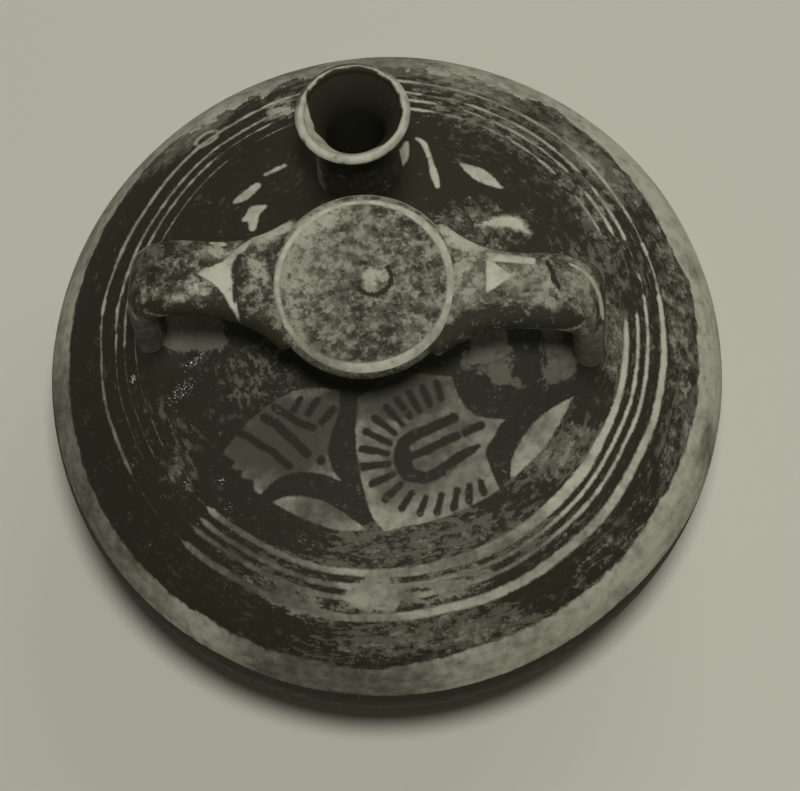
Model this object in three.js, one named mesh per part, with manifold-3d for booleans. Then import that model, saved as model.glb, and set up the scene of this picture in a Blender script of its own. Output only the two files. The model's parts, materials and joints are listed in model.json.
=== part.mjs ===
// A squat false-necked jar of thrown clay, in millimetres, +Z up.
// The origin is the centre of the foot, on the surface that the jar stands on.
// The spout stands towards +Y, and the two strap handles reach out near -X and +X.
// Every piece is one that the potter throws, pulls or rolls by itself and then lutes on with slip.
import * as THREE from 'three';
import { mergeVertices } from 'three/addons/utils/BufferGeometryUtils.js';
import Module from 'manifold-3d';

const wasm = await Module();
wasm.setup();

// Driving dimensions: the body
const BELLY_RADIUS = 70; // the body at its widest
const SHOULDER_RISE = 36.5; // from the widest point up to the crown of the shoulder
const SHOULDER_POWER = 2.4; // above 2 the shoulder is flatter on top than an ellipse
const BOWL_DROP = 42; // from the widest point down to the underside, on the axis
const BOWL_POWER = 2.2; // above 2 the bowl is flatter below than an ellipse
const WALL = 4.6; // thickness of the thrown walls
const LAP_HEIGHT = 3; // of the tongue on the bowl's rim, inside the shoulder

// Driving dimensions: the foot ring
const FOOT_RADIUS = 27; // outside, where it meets the table
const FOOT_WIDTH = 6.5; // across the ring at the table
const FOOT_HOLLOW = 2; // room that the ring leaves under the middle of the bowl
const FOOT_TAPER = 1; // how much the ring draws in towards the bowl
const FOOT_ROUND = 0.8; // of its two lower edges

// Driving dimensions: the false neck and the disc that closes it
const NECK_OFFSET = -2; // along X: the neck was set a little off the centre of the shoulder
const NECK_RADIUS = 11.3; // outside, where it stands on the shoulder
const NECK_WAIST = 10.2; // outside, at its narrowest
const NECK_FLARE = 15.5; // outside, under the disc
const NECK_SEAT = 2.3; // ledge that rests on the shoulder around the tenon
const NECK_SOCKET = 2; // depth of the seat for the tenon in the closed crown of the shoulder
const NECK_BORE = 5; // radius of the hollow in the stem
const NECK_HEIGHT = 26; // from the crown of the shoulder to the disc's upper edge
const DISC_RADIUS = 18.8;
const DISC_EDGE = 5.2; // thickness of the disc at its edge
const DISC_CROWN = 1.6; // rise of the disc's top towards its middle
const PLUG_LENGTH = 7; // of the plug under the disc, in the bore of the stem

// Driving dimensions: the strap handles
const HANDLE_REACH = 47; // from the neck's axis to the outside of the strap
const HANDLE_WIDTH = 15;
const HANDLE_THICKNESS = 6.5;
const HANDLE_ROUNDNESS = 0.7; // of the strap's section: 1 is an ellipse, 0 a rectangle
const HANDLE_FILLET = 22; // radius, seen from above, by which the strap spreads towards the disc
const HANDLE_WRAP = 2; // how far the strap's end is wiped round the disc's edge
const HANDLE_BEND = 9; // radius of the strap's middle line where it turns down
const HANDLE_DROP = 0.4; // of the strap's top below the disc's edge
const HANDLE_AZIMUTHS = { left: 169, right: -8.6 }; // degrees, round the neck

// Driving dimensions: the spout
const SPOUT_SPACING = 2.4; // on the shoulder, between the neck's coil and the spout's
const SPOUT_LEAN = 9.6; // degrees away from the neck
const SPOUT_LENGTH = 27; // along its axis, from the shoulder to the lip
const SPOUT_BORE = 5.8; // radius of the pouring hole
const SPOUT_WALL = 2.4; // at its narrowest
const SPOUT_SPREAD = 0.6; // how much wider its foot is than its waist
const SPOUT_MOUTH = 11.5; // outside, at the lip
const SPOUT_LIP = 1.9; // thickness of the lip
const SPOUT_FUNNEL = 10; // length of the flare inside the mouth

// Driving dimensions: the joints
const SLIP = 0.3; // room for the slip between two pieces
const COIL = 4.6; // leg of the concave fillet that a luting coil is wiped into
const COIL_EDGE = 0.8; // thickness of a coil at its rim
const SEAM_COIL_BULGE = 2; // of the coil over the belly seam
const SEAM_COIL_HEIGHT = 13;

// Facets
const BODY_SIDES = 48;
const SMALL_SIDES = 28;
const CURVE_STEPS = 12;
const FILLET_STEPS = 5;
const STRAP_RINGS = 26;
const STRAP_SIDES = 14;

// What follows from the driving dimensions
const bellyHeight = FOOT_HOLLOW + BOWL_DROP;
const seamRadius = BELLY_RADIUS - WALL / 2;
const socketRadius = NECK_RADIUS - NECK_SEAT;
const discTop = bellyHeight + SHOULDER_RISE + NECK_HEIGHT;
const discUnderside = discTop - DISC_EDGE;
const spoutWaist = SPOUT_BORE + SPOUT_WALL;
const spoutFoot = spoutWaist + SPOUT_SPREAD;
const spoutDistance = NECK_RADIUS + COIL + SPOUT_SPACING + COIL + spoutFoot;
const trimDepth = WALL; // how far a raw piece reaches below the surface that it is trimmed to

// The body's curves

// Half of the body's curve, from the widest point (turn 0) to the axis (turn 1), as (radius, rise).
function bodyCurve(radius, rise, power, from, to, steps) {
  const points = [];
  for (let i = 0; i <= steps; i++) {
    const turn = from + ((to - from) * i) / steps;
    const angle = (turn * Math.PI) / 2;
    const r = turn === 1 ? 0 : radius * Math.cos(angle) ** (2 / power);
    points.push(new THREE.Vector2(r, rise * Math.sin(angle)));
  }
  return points;
}

// The turn at which bodyCurve has reached a height.
function turnAt(height, rise) {
  return Math.asin(height / rise) / (Math.PI / 2);
}

function shoulderHeight(r) {
  return bellyHeight + SHOULDER_RISE * Math.sqrt(1 - (r / BELLY_RADIUS) ** SHOULDER_POWER);
}

// How much the shoulder falls for each millimetre outwards.
function shoulderFall(r) {
  const step = 0.01;
  return (shoulderHeight(r - step) - shoulderHeight(r + step)) / (2 * step);
}

function bowlUnderside(r) {
  return bellyHeight - BOWL_DROP * Math.sqrt(1 - (r / BELLY_RADIUS) ** BOWL_POWER);
}

// The radius of the inside of the wall at a height, in the bowl or in the shoulder.
function innerRadius(z) {
  const above = z >= bellyHeight;
  const rise = (above ? SHOULDER_RISE : BOWL_DROP) - WALL;
  const power = above ? SHOULDER_POWER : BOWL_POWER;
  const share = (z - bellyHeight) / rise;
  return (BELLY_RADIUS - WALL) * (1 - share * share) ** (1 / power);
}

// Helpers for solids

// A solid of revolution about Z from an outline that runs up its outside and down its inside.
function turned(outline, sides) {
  const first = outline[0];
  const last = outline[outline.length - 1];
  const closed = first.x === 0 && last.x === 0 ? outline : [...outline, first];
  return new THREE.LatheGeometry(closed, sides).rotateX(Math.PI / 2);
}

// A plain round bar from one height to another, round Z.
function bar(radius, bottom, top) {
  const outline = [
    new THREE.Vector2(0, bottom),
    new THREE.Vector2(radius, bottom),
    new THREE.Vector2(radius, top),
    new THREE.Vector2(0, top),
  ];
  return turned(outline, SMALL_SIDES);
}

// A solid through rings of points: joined end to start, or else capped at both ends.
function lofted(rings, joined) {
  const around = rings[0].length;
  const spans = joined ? rings.length : rings.length - 1;
  const corners = [];
  for (let i = 0; i < spans; i++) {
    const here = i * around;
    const there = ((i + 1) % rings.length) * around;
    for (let k = 0; k < around; k++) {
      const side = (k + 1) % around;
      corners.push(here + k, here + side, there + k, here + side, there + side, there + k);
    }
  }
  const end = spans * around;
  for (let k = 1; k < around - 1 && !joined; k++) {
    corners.push(0, k + 1, k, end, end + k, end + k + 1);
  }
  const geometry = new THREE.BufferGeometry().setFromPoints(rings.flat());
  geometry.setIndex(corners);
  return geometry;
}

function solidOf(geometry) {
  const bare = geometry.clone();
  bare.deleteAttribute('normal');
  bare.deleteAttribute('uv');
  const merged = mergeVertices(bare, 1e-4);
  const corners = [];
  const index = merged.index.array;
  for (let i = 0; i < index.length; i += 3) {
    const [a, b, c] = [index[i], index[i + 1], index[i + 2]];
    if (a !== b && b !== c && c !== a) corners.push(a, b, c);
  }
  return new wasm.Manifold(
    new wasm.Mesh({
      numProp: 3,
      vertProperties: merged.attributes.position.array,
      triVerts: new Uint32Array(corners),
    }),
  );
}

function geometryOf(solid) {
  const mesh = solid.getMesh();
  const geometry = new THREE.BufferGeometry();
  geometry.setAttribute('position', new THREE.BufferAttribute(mesh.vertProperties, 3));
  geometry.setIndex(new THREE.BufferAttribute(mesh.triVerts, 1));
  geometry.computeVertexNormals();
  return geometry;
}

// The group, its finishes, and how a piece is placed and trimmed

const jar = new THREE.Group();
jar.name = 'false_necked_jar';

const paintedClay = { color: 0x3a382e, roughness: 0.62, metalness: 0 };
const bareClay = { color: 0xa3a193, roughness: 0.85, metalness: 0 };
const insideClay = { color: 0x8d8a7c, roughness: 0.95, metalness: 0 };

function piece(name, geometry, finish, parent) {
  const mesh = new THREE.Mesh(geometry, new THREE.MeshStandardMaterial(finish));
  mesh.name = name;
  parent.add(mesh);
  return mesh;
}

// A geometry as a solid in the jar's own frame, where its holder places it.
function inPlace(geometry, holder) {
  jar.updateMatrixWorld(true);
  return solidOf(geometry.clone().applyMatrix4(holder.matrixWorld));
}

// Trims a placed piece by solids that are given in the jar's own frame.
function trim(mesh, ...cutters) {
  const cut = cutters.reduce((left, cutter) => left.subtract(cutter), inPlace(mesh.geometry, mesh));
  mesh.geometry = geometryOf(cut).applyMatrix4(mesh.matrixWorld.clone().invert());
}

// Luting coils

// Points round a stem of round section, with the direction outwards at each.
function roundStem(radius) {
  const points = [];
  for (let k = 0; k < SMALL_SIDES; k++) {
    const angle = (2 * Math.PI * k) / SMALL_SIDES;
    const out = new THREE.Vector2(Math.cos(angle), Math.sin(angle));
    points.push({ at: out.clone().multiplyScalar(radius), out });
  }
  return points;
}

// A coil wiped into a concave fillet round a stem, standing on z = 0.
function lutingCoil(stem) {
  const top = COIL + COIL_EDGE;
  const fillet = new THREE.EllipseCurve(COIL, top, COIL, COIL, Math.PI, 1.5 * Math.PI);
  const section = [
    new THREE.Vector2(-COIL_EDGE, top),
    ...fillet.getPoints(FILLET_STEPS),
    new THREE.Vector2(COIL, -trimDepth),
    new THREE.Vector2(-COIL_EDGE, -trimDepth),
  ];
  const rings = stem.map(({ at, out }) =>
    section.map((p) => new THREE.Vector3(at.x + out.x * p.x, at.y + out.y * p.x, p.y)),
  );
  return lofted(rings, true);
}

// The body: bowl, shoulder, foot ring and the coil over the belly seam

function bowlGeometry() {
  const outside = bodyCurve(BELLY_RADIUS, BOWL_DROP, BOWL_POWER, 1, 0, CURVE_STEPS);
  const inside = bodyCurve(BELLY_RADIUS - WALL, BOWL_DROP - WALL, BOWL_POWER, 0, 1, CURVE_STEPS);
  const tongueTop = bellyHeight + LAP_HEIGHT;
  const down = (point) => new THREE.Vector2(point.x, bellyHeight - point.y);
  const outline = [
    ...outside.map(down),
    new THREE.Vector2(seamRadius - SLIP / 2, bellyHeight),
    new THREE.Vector2(seamRadius - SLIP / 2, tongueTop),
    new THREE.Vector2(innerRadius(tongueTop), tongueTop),
    ...inside.map(down),
  ];
  return turned(outline, BODY_SIDES);
}

function shoulderGeometry() {
  const lip = turnAt(SLIP, SHOULDER_RISE);
  const rebateTop = LAP_HEIGHT + SLIP;
  const insideRise = SHOULDER_RISE - WALL;
  const rebate = turnAt(rebateTop, insideRise);
  const outside = bodyCurve(BELLY_RADIUS, SHOULDER_RISE, SHOULDER_POWER, lip, 1, CURVE_STEPS);
  const inside = bodyCurve(BELLY_RADIUS - WALL, insideRise, SHOULDER_POWER, 1, rebate, CURVE_STEPS);
  const up = (point) => new THREE.Vector2(point.x, bellyHeight + point.y);
  const outline = [
    ...outside.map(up),
    ...inside.map(up),
    new THREE.Vector2(seamRadius + SLIP / 2, bellyHeight + rebateTop),
    new THREE.Vector2(seamRadius + SLIP / 2, bellyHeight + SLIP),
  ];
  return turned(outline, BODY_SIDES);
}

function footRingGeometry() {
  const inner = FOOT_RADIUS - FOOT_WIDTH;
  const topOuter = FOOT_RADIUS - FOOT_TAPER;
  const underBowl = [topOuter, (topOuter + inner) / 2, inner].map(
    (r) => new THREE.Vector2(r, bowlUnderside(r) - SLIP),
  );
  const outerRound = new THREE.EllipseCurve(
    FOOT_RADIUS - FOOT_ROUND, FOOT_ROUND, FOOT_ROUND, FOOT_ROUND, -Math.PI / 2, 0,
  );
  const innerRound = new THREE.EllipseCurve(
    inner + FOOT_ROUND, FOOT_ROUND, FOOT_ROUND, FOOT_ROUND, Math.PI, 1.5 * Math.PI,
  );
  return turned([...outerRound.getPoints(2), ...underBowl, ...innerRound.getPoints(2)], BODY_SIDES);
}

function seamCoilGeometry() {
  const middle = bellyHeight + LAP_HEIGHT / 2;
  const wallSide = [];
  const openSide = [];
  const steps = 4;
  for (let i = 0; i <= steps; i++) {
    const share = (2 * i) / steps - 1;
    const z = middle + (share * SEAM_COIL_HEIGHT) / 2;
    const wall = innerRadius(z) - SLIP;
    wallSide.push(new THREE.Vector2(wall, z));
    openSide.unshift(new THREE.Vector2(wall - COIL_EDGE - SEAM_COIL_BULGE * (1 - share * share), z));
  }
  return turned([...wallSide, ...openSide], BODY_SIDES);
}

// Everything under the shoulder's outer surface, grown by the slip joint.
function underShoulder() {
  const surface = bodyCurve(
    BELLY_RADIUS + SLIP, SHOULDER_RISE + SLIP, SHOULDER_POWER, 0, 1, CURVE_STEPS,
  ).map((point) => new THREE.Vector2(point.x, bellyHeight + point.y));
  return solidOf(turned([new THREE.Vector2(0, bellyHeight), ...surface], BODY_SIDES));
}

piece('foot_ring', footRingGeometry(), bareClay, jar);
piece('bowl', bowlGeometry(), paintedClay, jar);
piece('belly_luting_coil', seamCoilGeometry(), insideClay, jar);
const shoulder = piece('shoulder', shoulderGeometry(), paintedClay, jar);
const belowSurface = underShoulder();

// The false neck, its disc and its coil, round the neck's own axis

const neck = new THREE.Group();
neck.position.x = NECK_OFFSET;
jar.add(neck);

const neckFoot = shoulderHeight(Math.abs(NECK_OFFSET) + NECK_RADIUS);
const neckTop = discUnderside - SLIP;
const socketFloor = neckFoot - NECK_SOCKET;

// The outside of the stem, from the shoulder's surface up to the disc.
function neckOutside(grow) {
  const middle = (neckFoot + neckTop) / 2;
  const waist = NECK_WAIST + grow;
  const lower = new THREE.QuadraticBezierCurve(
    new THREE.Vector2(NECK_RADIUS + grow, neckFoot),
    new THREE.Vector2(waist, (neckFoot + middle) / 2),
    new THREE.Vector2(waist, middle),
  );
  const upper = new THREE.QuadraticBezierCurve(
    new THREE.Vector2(waist, middle),
    new THREE.Vector2(waist, (middle + neckTop) / 2),
    new THREE.Vector2(NECK_FLARE + grow, neckTop),
  );
  return [...lower.getPoints(FILLET_STEPS - 1), ...upper.getPoints(FILLET_STEPS - 1).slice(1)];
}

function neckGeometry() {
  const tenonEnd = socketFloor + SLIP;
  const outline = [
    new THREE.Vector2(NECK_BORE, tenonEnd),
    new THREE.Vector2(NECK_RADIUS, tenonEnd),
    ...neckOutside(0),
    new THREE.Vector2(NECK_BORE, neckTop),
  ];
  return turned(outline, SMALL_SIDES);
}

// The disc's round edge.
function discRim(grow) {
  const round = DISC_EDGE / 2 + grow;
  const rim = new THREE.EllipseCurve(
    DISC_RADIUS + grow - round, discTop - DISC_EDGE / 2, round, round, -Math.PI / 2, Math.PI / 2,
  );
  return rim.getPoints(FILLET_STEPS);
}

function discGeometry() {
  const plug = NECK_BORE - SLIP;
  const outline = [
    new THREE.Vector2(0, discUnderside - PLUG_LENGTH),
    new THREE.Vector2(plug, discUnderside - PLUG_LENGTH),
    new THREE.Vector2(plug, discUnderside),
    ...discRim(0),
    new THREE.Vector2(0, discTop + DISC_CROWN),
  ];
  return turned(outline, SMALL_SIDES);
}

// The stem and the disc, grown by the slip joint, for what is luted onto them.
function neckRoomGeometry() {
  const outline = [
    new THREE.Vector2(0, neckFoot - trimDepth),
    new THREE.Vector2(NECK_RADIUS + SLIP, neckFoot - trimDepth),
    ...neckOutside(SLIP),
    new THREE.Vector2(0, neckTop),
  ];
  return turned(outline, SMALL_SIDES);
}

function discRoomGeometry() {
  const outline = [
    new THREE.Vector2(0, discUnderside - SLIP),
    ...discRim(SLIP),
    new THREE.Vector2(0, discTop + SLIP),
  ];
  return turned(outline, SMALL_SIDES);
}

const socketBar = inPlace(bar(socketRadius, socketFloor, discTop), neck);
const tenonBar = inPlace(bar(socketRadius - SLIP, socketFloor, discTop), neck);
const neckRoom = inPlace(neckRoomGeometry(), neck);
const discRoom = inPlace(discRoomGeometry(), neck);

const falseNeck = piece('false_neck', neckGeometry(), paintedClay, neck);
trim(falseNeck, belowSurface.subtract(tenonBar));
piece('neck_disc', discGeometry(), paintedClay, neck);
const neckCoil = piece('neck_luting_coil', lutingCoil(roundStem(NECK_RADIUS)), paintedClay, neck);
neckCoil.position.z = neckFoot;
trim(neckCoil, belowSurface, neckRoom);

// The strap handles, each in a group that turns it round the neck

const strapMiddle = discTop - HANDLE_DROP - HANDLE_THICKNESS / 2;
const legMiddle = HANDLE_REACH - HANDLE_THICKNESS / 2;

// Points round the strap's section, x through its thickness and y across it, with the directions outwards.
function strapSection(halfThickness, halfWidth, sides) {
  const bent = (value, power) => Math.sign(value) * Math.abs(value) ** power;
  const points = [];
  for (let k = 0; k < sides; k++) {
    const angle = (2 * Math.PI * k) / sides;
    const [c, s] = [Math.cos(angle), Math.sin(angle)];
    const at = new THREE.Vector2(
      halfThickness * bent(c, HANDLE_ROUNDNESS),
      halfWidth * bent(s, HANDLE_ROUNDNESS),
    );
    const out = new THREE.Vector2(
      bent(c, 2 - HANDLE_ROUNDNESS) / halfThickness,
      bent(s, 2 - HANDLE_ROUNDNESS) / halfWidth,
    );
    points.push({ at, out: out.normalize() });
  }
  return points;
}

// The strap's middle line, out from the disc and down to below the shoulder's surface.
function strapLine(legEnd) {
  const line = new THREE.Path();
  line.moveTo(DISC_RADIUS - HANDLE_THICKNESS, strapMiddle);
  line.lineTo(legMiddle - HANDLE_BEND, strapMiddle);
  line.absarc(legMiddle - HANDLE_BEND, strapMiddle - HANDLE_BEND, HANDLE_BEND, Math.PI / 2, 0, true);
  line.lineTo(legMiddle, legEnd);
  return line;
}

// Half the strap's width at a distance from the neck's axis: its edges run in arcs round the disc's edge.
function halfStrap(distance) {
  const straight = HANDLE_WIDTH / 2;
  const wrap = DISC_RADIUS + HANDLE_WRAP;
  const arcDistance = wrap + HANDLE_FILLET;
  const arcStart = Math.sqrt(arcDistance ** 2 - (straight + HANDLE_FILLET) ** 2);
  const arcEnd = (arcStart * wrap) / arcDistance;
  const inArc = arcStart - THREE.MathUtils.clamp(distance, arcEnd, arcStart);
  return straight + HANDLE_FILLET - Math.sqrt(HANDLE_FILLET ** 2 - inArc ** 2);
}

// A strap of rounded section swept along its line, wide at the disc.
function strapGeometry(legEnd, grow) {
  const line = strapLine(legEnd);
  const rings = [];
  for (let i = 0; i <= STRAP_RINGS; i++) {
    const middle = line.getPointAt(i / STRAP_RINGS);
    const along = line.getTangentAt(i / STRAP_RINGS);
    const section = strapSection(HANDLE_THICKNESS / 2 + grow, halfStrap(middle.x) + grow, STRAP_SIDES);
    rings.push(
      section.map(({ at }) => new THREE.Vector3(middle.x - along.y * at.x, -at.y, middle.y + along.x * at.x)),
    );
  }
  return lofted(rings, false);
}

// The coil at a strap's foot, which follows the fall of the shoulder outwards.
function strapCoilGeometry(fall) {
  const stem = strapSection(HANDLE_THICKNESS / 2, HANDLE_WIDTH / 2, SMALL_SIDES);
  const lean = new THREE.Matrix4().set(1, 0, 0, 0, 0, 1, 0, 0, -fall, 0, 1, 0, 0, 0, 0, 1);
  return lutingCoil(stem).applyMatrix4(lean);
}

for (const [side, azimuth] of Object.entries(HANDLE_AZIMUTHS)) {
  const holder = new THREE.Group();
  holder.rotation.z = THREE.MathUtils.degToRad(azimuth);
  neck.add(holder);
  jar.updateMatrixWorld(true);
  const foot = new THREE.Vector3(legMiddle, 0, 0).applyMatrix4(holder.matrixWorld);
  const footRadius = Math.hypot(foot.x, foot.y);
  const footHeight = shoulderHeight(footRadius);
  const legEnd = footHeight - trimDepth;
  const strap = piece(`handle_${side}`, strapGeometry(legEnd, 0), paintedClay, holder);
  trim(strap, belowSurface, neckRoom, discRoom);
  const coilGeometry = strapCoilGeometry(shoulderFall(footRadius));
  const coil = piece(`handle_${side}_luting_coil`, coilGeometry, paintedClay, holder);
  coil.position.set(legMiddle, 0, footHeight);
  trim(coil, belowSurface, inPlace(strapGeometry(legEnd - trimDepth, SLIP), holder));
}

// The spout, its coil and the pouring hole under it

const spoutSeat = new THREE.Group();
spoutSeat.position.set(0, spoutDistance, shoulderHeight(spoutDistance));
spoutSeat.rotation.x = -THREE.MathUtils.degToRad(SPOUT_LEAN);
jar.add(spoutSeat);

// The outside of the spout, from below the shoulder's surface up to the middle of the lip.
function spoutOutside(grow) {
  const waistHeight = SPOUT_LENGTH / 2;
  const lipMiddle = SPOUT_LENGTH - SPOUT_LIP / 2;
  const waist = new THREE.Vector2(spoutWaist + grow, waistHeight);
  const flare = new THREE.QuadraticBezierCurve(
    waist,
    new THREE.Vector2(spoutWaist + grow, (waistHeight + lipMiddle) / 2),
    new THREE.Vector2(SPOUT_MOUTH + grow, lipMiddle),
  );
  return [
    new THREE.Vector2(spoutFoot + grow, -trimDepth),
    new THREE.Vector2(spoutFoot + grow, 0),
    ...flare.getPoints(FILLET_STEPS),
  ];
}

function spoutGeometry() {
  const lipRound = SPOUT_LIP / 2;
  const lipMiddle = SPOUT_LENGTH - lipRound;
  const lip = new THREE.EllipseCurve(SPOUT_MOUTH - lipRound, lipMiddle, lipRound, lipRound, 0, Math.PI);
  const throat = SPOUT_LENGTH - SPOUT_FUNNEL;
  const funnel = new THREE.QuadraticBezierCurve(
    new THREE.Vector2(SPOUT_MOUTH - SPOUT_LIP, lipMiddle),
    new THREE.Vector2(SPOUT_BORE, (throat + SPOUT_LENGTH) / 2),
    new THREE.Vector2(SPOUT_BORE, throat),
  );
  const outline = [
    ...spoutOutside(0),
    ...lip.getPoints(FILLET_STEPS - 1).slice(1),
    ...funnel.getPoints(FILLET_STEPS - 1).slice(1),
    new THREE.Vector2(SPOUT_BORE, -trimDepth),
  ];
  return turned(outline, SMALL_SIDES);
}

// The spout filled and grown by the slip joint, for its coil.
function spoutRoomGeometry() {
  const outline = [
    new THREE.Vector2(0, -2 * trimDepth),
    new THREE.Vector2(spoutFoot + SLIP, -2 * trimDepth),
    ...spoutOutside(SLIP),
    new THREE.Vector2(0, SPOUT_LENGTH),
  ];
  return turned(outline, SMALL_SIDES);
}

const spout = piece('spout', spoutGeometry(), paintedClay, spoutSeat);
trim(spout, belowSurface);
const spoutCoil = piece('spout_luting_coil', lutingCoil(roundStem(spoutFoot)), paintedClay, spoutSeat);
trim(spoutCoil, belowSurface, inPlace(spoutRoomGeometry(), spoutSeat));
const pouringHole = inPlace(bar(SPOUT_BORE, -SPOUT_LENGTH, SPOUT_LENGTH), spoutSeat);
trim(shoulder, socketBar, pouringHole);

export default jar;
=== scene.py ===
# The looks of a squat false-necked jar: thrown clay, dark slip paint and the wear of long use and burial.
# Sizes are in millimetres, as on the potter's bench. The frame itself is in metres, +Z up.
import json
import math

import bpy
import numpy as np
from mathutils import Matrix, Vector

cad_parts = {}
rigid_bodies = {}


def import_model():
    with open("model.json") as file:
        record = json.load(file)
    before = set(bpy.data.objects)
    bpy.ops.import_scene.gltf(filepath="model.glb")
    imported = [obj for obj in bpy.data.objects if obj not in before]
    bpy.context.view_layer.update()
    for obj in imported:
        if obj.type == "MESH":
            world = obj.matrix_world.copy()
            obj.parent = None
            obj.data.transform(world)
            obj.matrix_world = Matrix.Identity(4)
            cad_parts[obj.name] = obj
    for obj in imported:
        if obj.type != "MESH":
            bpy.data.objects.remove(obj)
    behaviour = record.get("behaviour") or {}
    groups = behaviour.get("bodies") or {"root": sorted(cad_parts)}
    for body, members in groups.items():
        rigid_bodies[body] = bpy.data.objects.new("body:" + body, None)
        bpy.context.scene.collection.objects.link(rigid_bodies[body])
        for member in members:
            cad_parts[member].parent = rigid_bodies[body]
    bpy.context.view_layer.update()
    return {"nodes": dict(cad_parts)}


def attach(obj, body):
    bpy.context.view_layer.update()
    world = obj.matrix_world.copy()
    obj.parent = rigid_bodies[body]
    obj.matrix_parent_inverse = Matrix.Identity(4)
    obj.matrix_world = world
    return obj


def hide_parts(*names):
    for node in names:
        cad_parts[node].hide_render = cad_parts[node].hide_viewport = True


for leftover in list(bpy.data.objects):
    bpy.data.objects.remove(leftover)
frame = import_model()

MM = 0.001
SEAM = 1e-6  # metres within which a mesh's seam is closed
CRISP = math.radians(40)  # corners sharper than this stay crisp
TINY = 1e-12  # keeps a division from zero

# The body
BELLY_RADIUS = 70
BELLY_HEIGHT = 44
SHOULDER_RISE = 36.5
SHOULDER_POWER = 2.4
BOWL_DROP = 42
BOWL_POWER = 2.2
WALL = 4.6
BODY_WOBBLE = 0.6  # how far the wall strays inwards from a true round
THROWING_RIDGE = 0.07  # height of the ridges that the fingers leave
RIDGE_PITCH = 68  # phase of the ridges for each radian of the wall's curve
RIDGE_SWAY = 14  # phase that the hand's unevenness adds
POURING_HOLE = 7.0  # radius of the hole under the spout
DRILL_LENGTH = 40.0
DRILL_SIDES = 96
SHOULDER_MESH = {"columns": 400, "outer_rows": 208, "inner_rows": 16, "front_density": 0.42}
BOWL_MESH = {"columns": 240, "outer_rows": 120, "inner_rows": 16, "front_density": 0.0}

# The foot ring
FOOT_RADIUS = 27
FOOT_WIDTH = 6.5
FOOT_TAPER = 1
FOOT_ROUND = 0.8
FOOT_STEPS = 8

# The false neck and its disc
NECK_X = -2
NECK_RADIUS = 11.3
NECK_WAIST = 10.2
NECK_FLARE = 15.5
NECK_BORE = 5
NECK_FOOT = 80.16
NECK_SUNK = 1.5  # how far the stem reaches below its foot
NECK_TOP = 101
DISC_TOP = 106.5
DISC_RADIUS = 18.8
DISC_EDGE = 5.2
DISC_CROWN = 1.6
DISC_WOBBLE = 0.012  # share of the radius that the rim strays inwards
PLUG_RADIUS = 4.7
PLUG_END = 94.3

# The strap handles
STRAP_REACH = 47
STRAP_WIDTH = 15
STRAP_THICKNESS = 6.5
STRAP_ROUNDNESS = 0.7
STRAP_FILLET = 22
STRAP_WRAP = 1.4  # how far outside the disc the strap's edges come to run along it
STRAP_TUCK = 1.0  # how steeply the edges then turn in under the disc
STRAP_ROUNDING = 3.0  # of the corner between the two
STRAP_BEND = 9
STRAP_DROP = 0.4
STRAP_AZIMUTHS = {"left": 169, "right": -8.6}
STRAP_RINGS = 150
STRAP_SIDES = 80

# The spout
SPOUT_Y = 31.7
SPOUT_LEAN = math.radians(9.6)
SPOUT_LENGTH = 27
SPOUT_BORE = 5.8
SPOUT_WAIST = 8.2
SPOUT_FOOT = 8.8
SPOUT_MOUTH = 11.5
SPOUT_LIP = 1.9
SPOUT_FUNNEL = 10
SPOUT_WOBBLE = 0.008

# The wiped coils: a concave fillet between a stem and the shoulder
COIL = 4.6
COIL_EDGE = 0.8
COIL_LAP = 0.35  # how far its top reaches into the stem
COIL_TOE = 0.5
COIL_HOLLOW = (0.15, 0.5)
COIL_SUNK = 1.6
COIL_SIDES = 120

# Colours, as the share of light that they send back
CLAY = (0.415, 0.410, 0.314, 1)
CLAY_STAINED = (0.300, 0.296, 0.220, 1)
# Dirty clay, and also the colour that painted shade darkens the shoulder's clay to
CLAY_DIRTY_AND_SHADED = (0.062, 0.0605, 0.042, 1)
CLAY_GHOST = (0.195, 0.192, 0.140, 1)
SLIP_DARK = (0.0185, 0.0182, 0.0100, 1)
SLIP_THIN = (0.090, 0.088, 0.061, 1)
LIME = (0.48, 0.475, 0.40, 1)

# Noises in the clay and the slip: scale for each millimetre, detail and roughness
GRAIN = (1.3, 4.0, 0.70)
BLOT = (0.40, 4.0, 0.60)
CLOUD = (0.11, 3.0, 0.50)
CRUMBS = (3.0, 2.0, 0.60)
WHEEL_FLECK = (1.0, 3.0, 0.60)
HAND_FLECK = (1.0, 5.0, 0.68)
TEAR = (0.30, 4.0, 0.60)
SLOW_SWAY = (0.045, 1.0, 0.50)
LINE_GAPS = (0.13, 2.0, 0.50)
BOWL_FADING = (0.05, 2.0, 0.50)
SPILT_SLIP = (0.12, 3.0, 0.50)
WALL_SWAY = (0.022, 1.0, 0.50)
HAND_SWAY = (0.03, 2.0, 0.50)
TURNED_SWAY = (0.08, 2.0, 0.50)

# How flecks are stretched: round the wheel and down the wall, or along the three axes of a piece made by hand
WHEEL_STRETCH = (15, 0.62)
AXIS_GAP = 0.01  # keeps what is divided by the radius finite on the axis
HAND_STRETCH = (0.55, 0.70, 0.70)

# From where to where a soft step goes over
SLIP_EDGE = (-0.28, 0.28)
DASH_EDGE = (0.40, 0.56)
THINNING = (0.0, 0.5)
LOSS_EDGE = (0.59, 0.73)
BARING = (0.30, 0.72)
STAINING = (0.42, 0.64)
DIRTYING = (0.0, 1.0)
GRIME_EDGE = (0.60, 0.68)
SPECK_EDGE = (0.78, 0.84)

# The surface: slip is a little smoother than clay and stands a little above it
CLAY_ROUGHNESS = 0.85
SLIP_SMOOTHER = 0.15
CLAY_SPECULAR = 0.14
RELIEF_HEIGHT = 0.2 * MM
RELIEF_STRENGTH = 0.5


# Node trees


def reckoned(operation):
    """Two ways to reckon with a wire: as the first value of an operation and as its second."""
    def first(wire, other):
        return wire.graph.math(operation, wire, other)

    def second(wire, other):
        return wire.graph.math(operation, other, wire)

    return first, second


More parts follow.
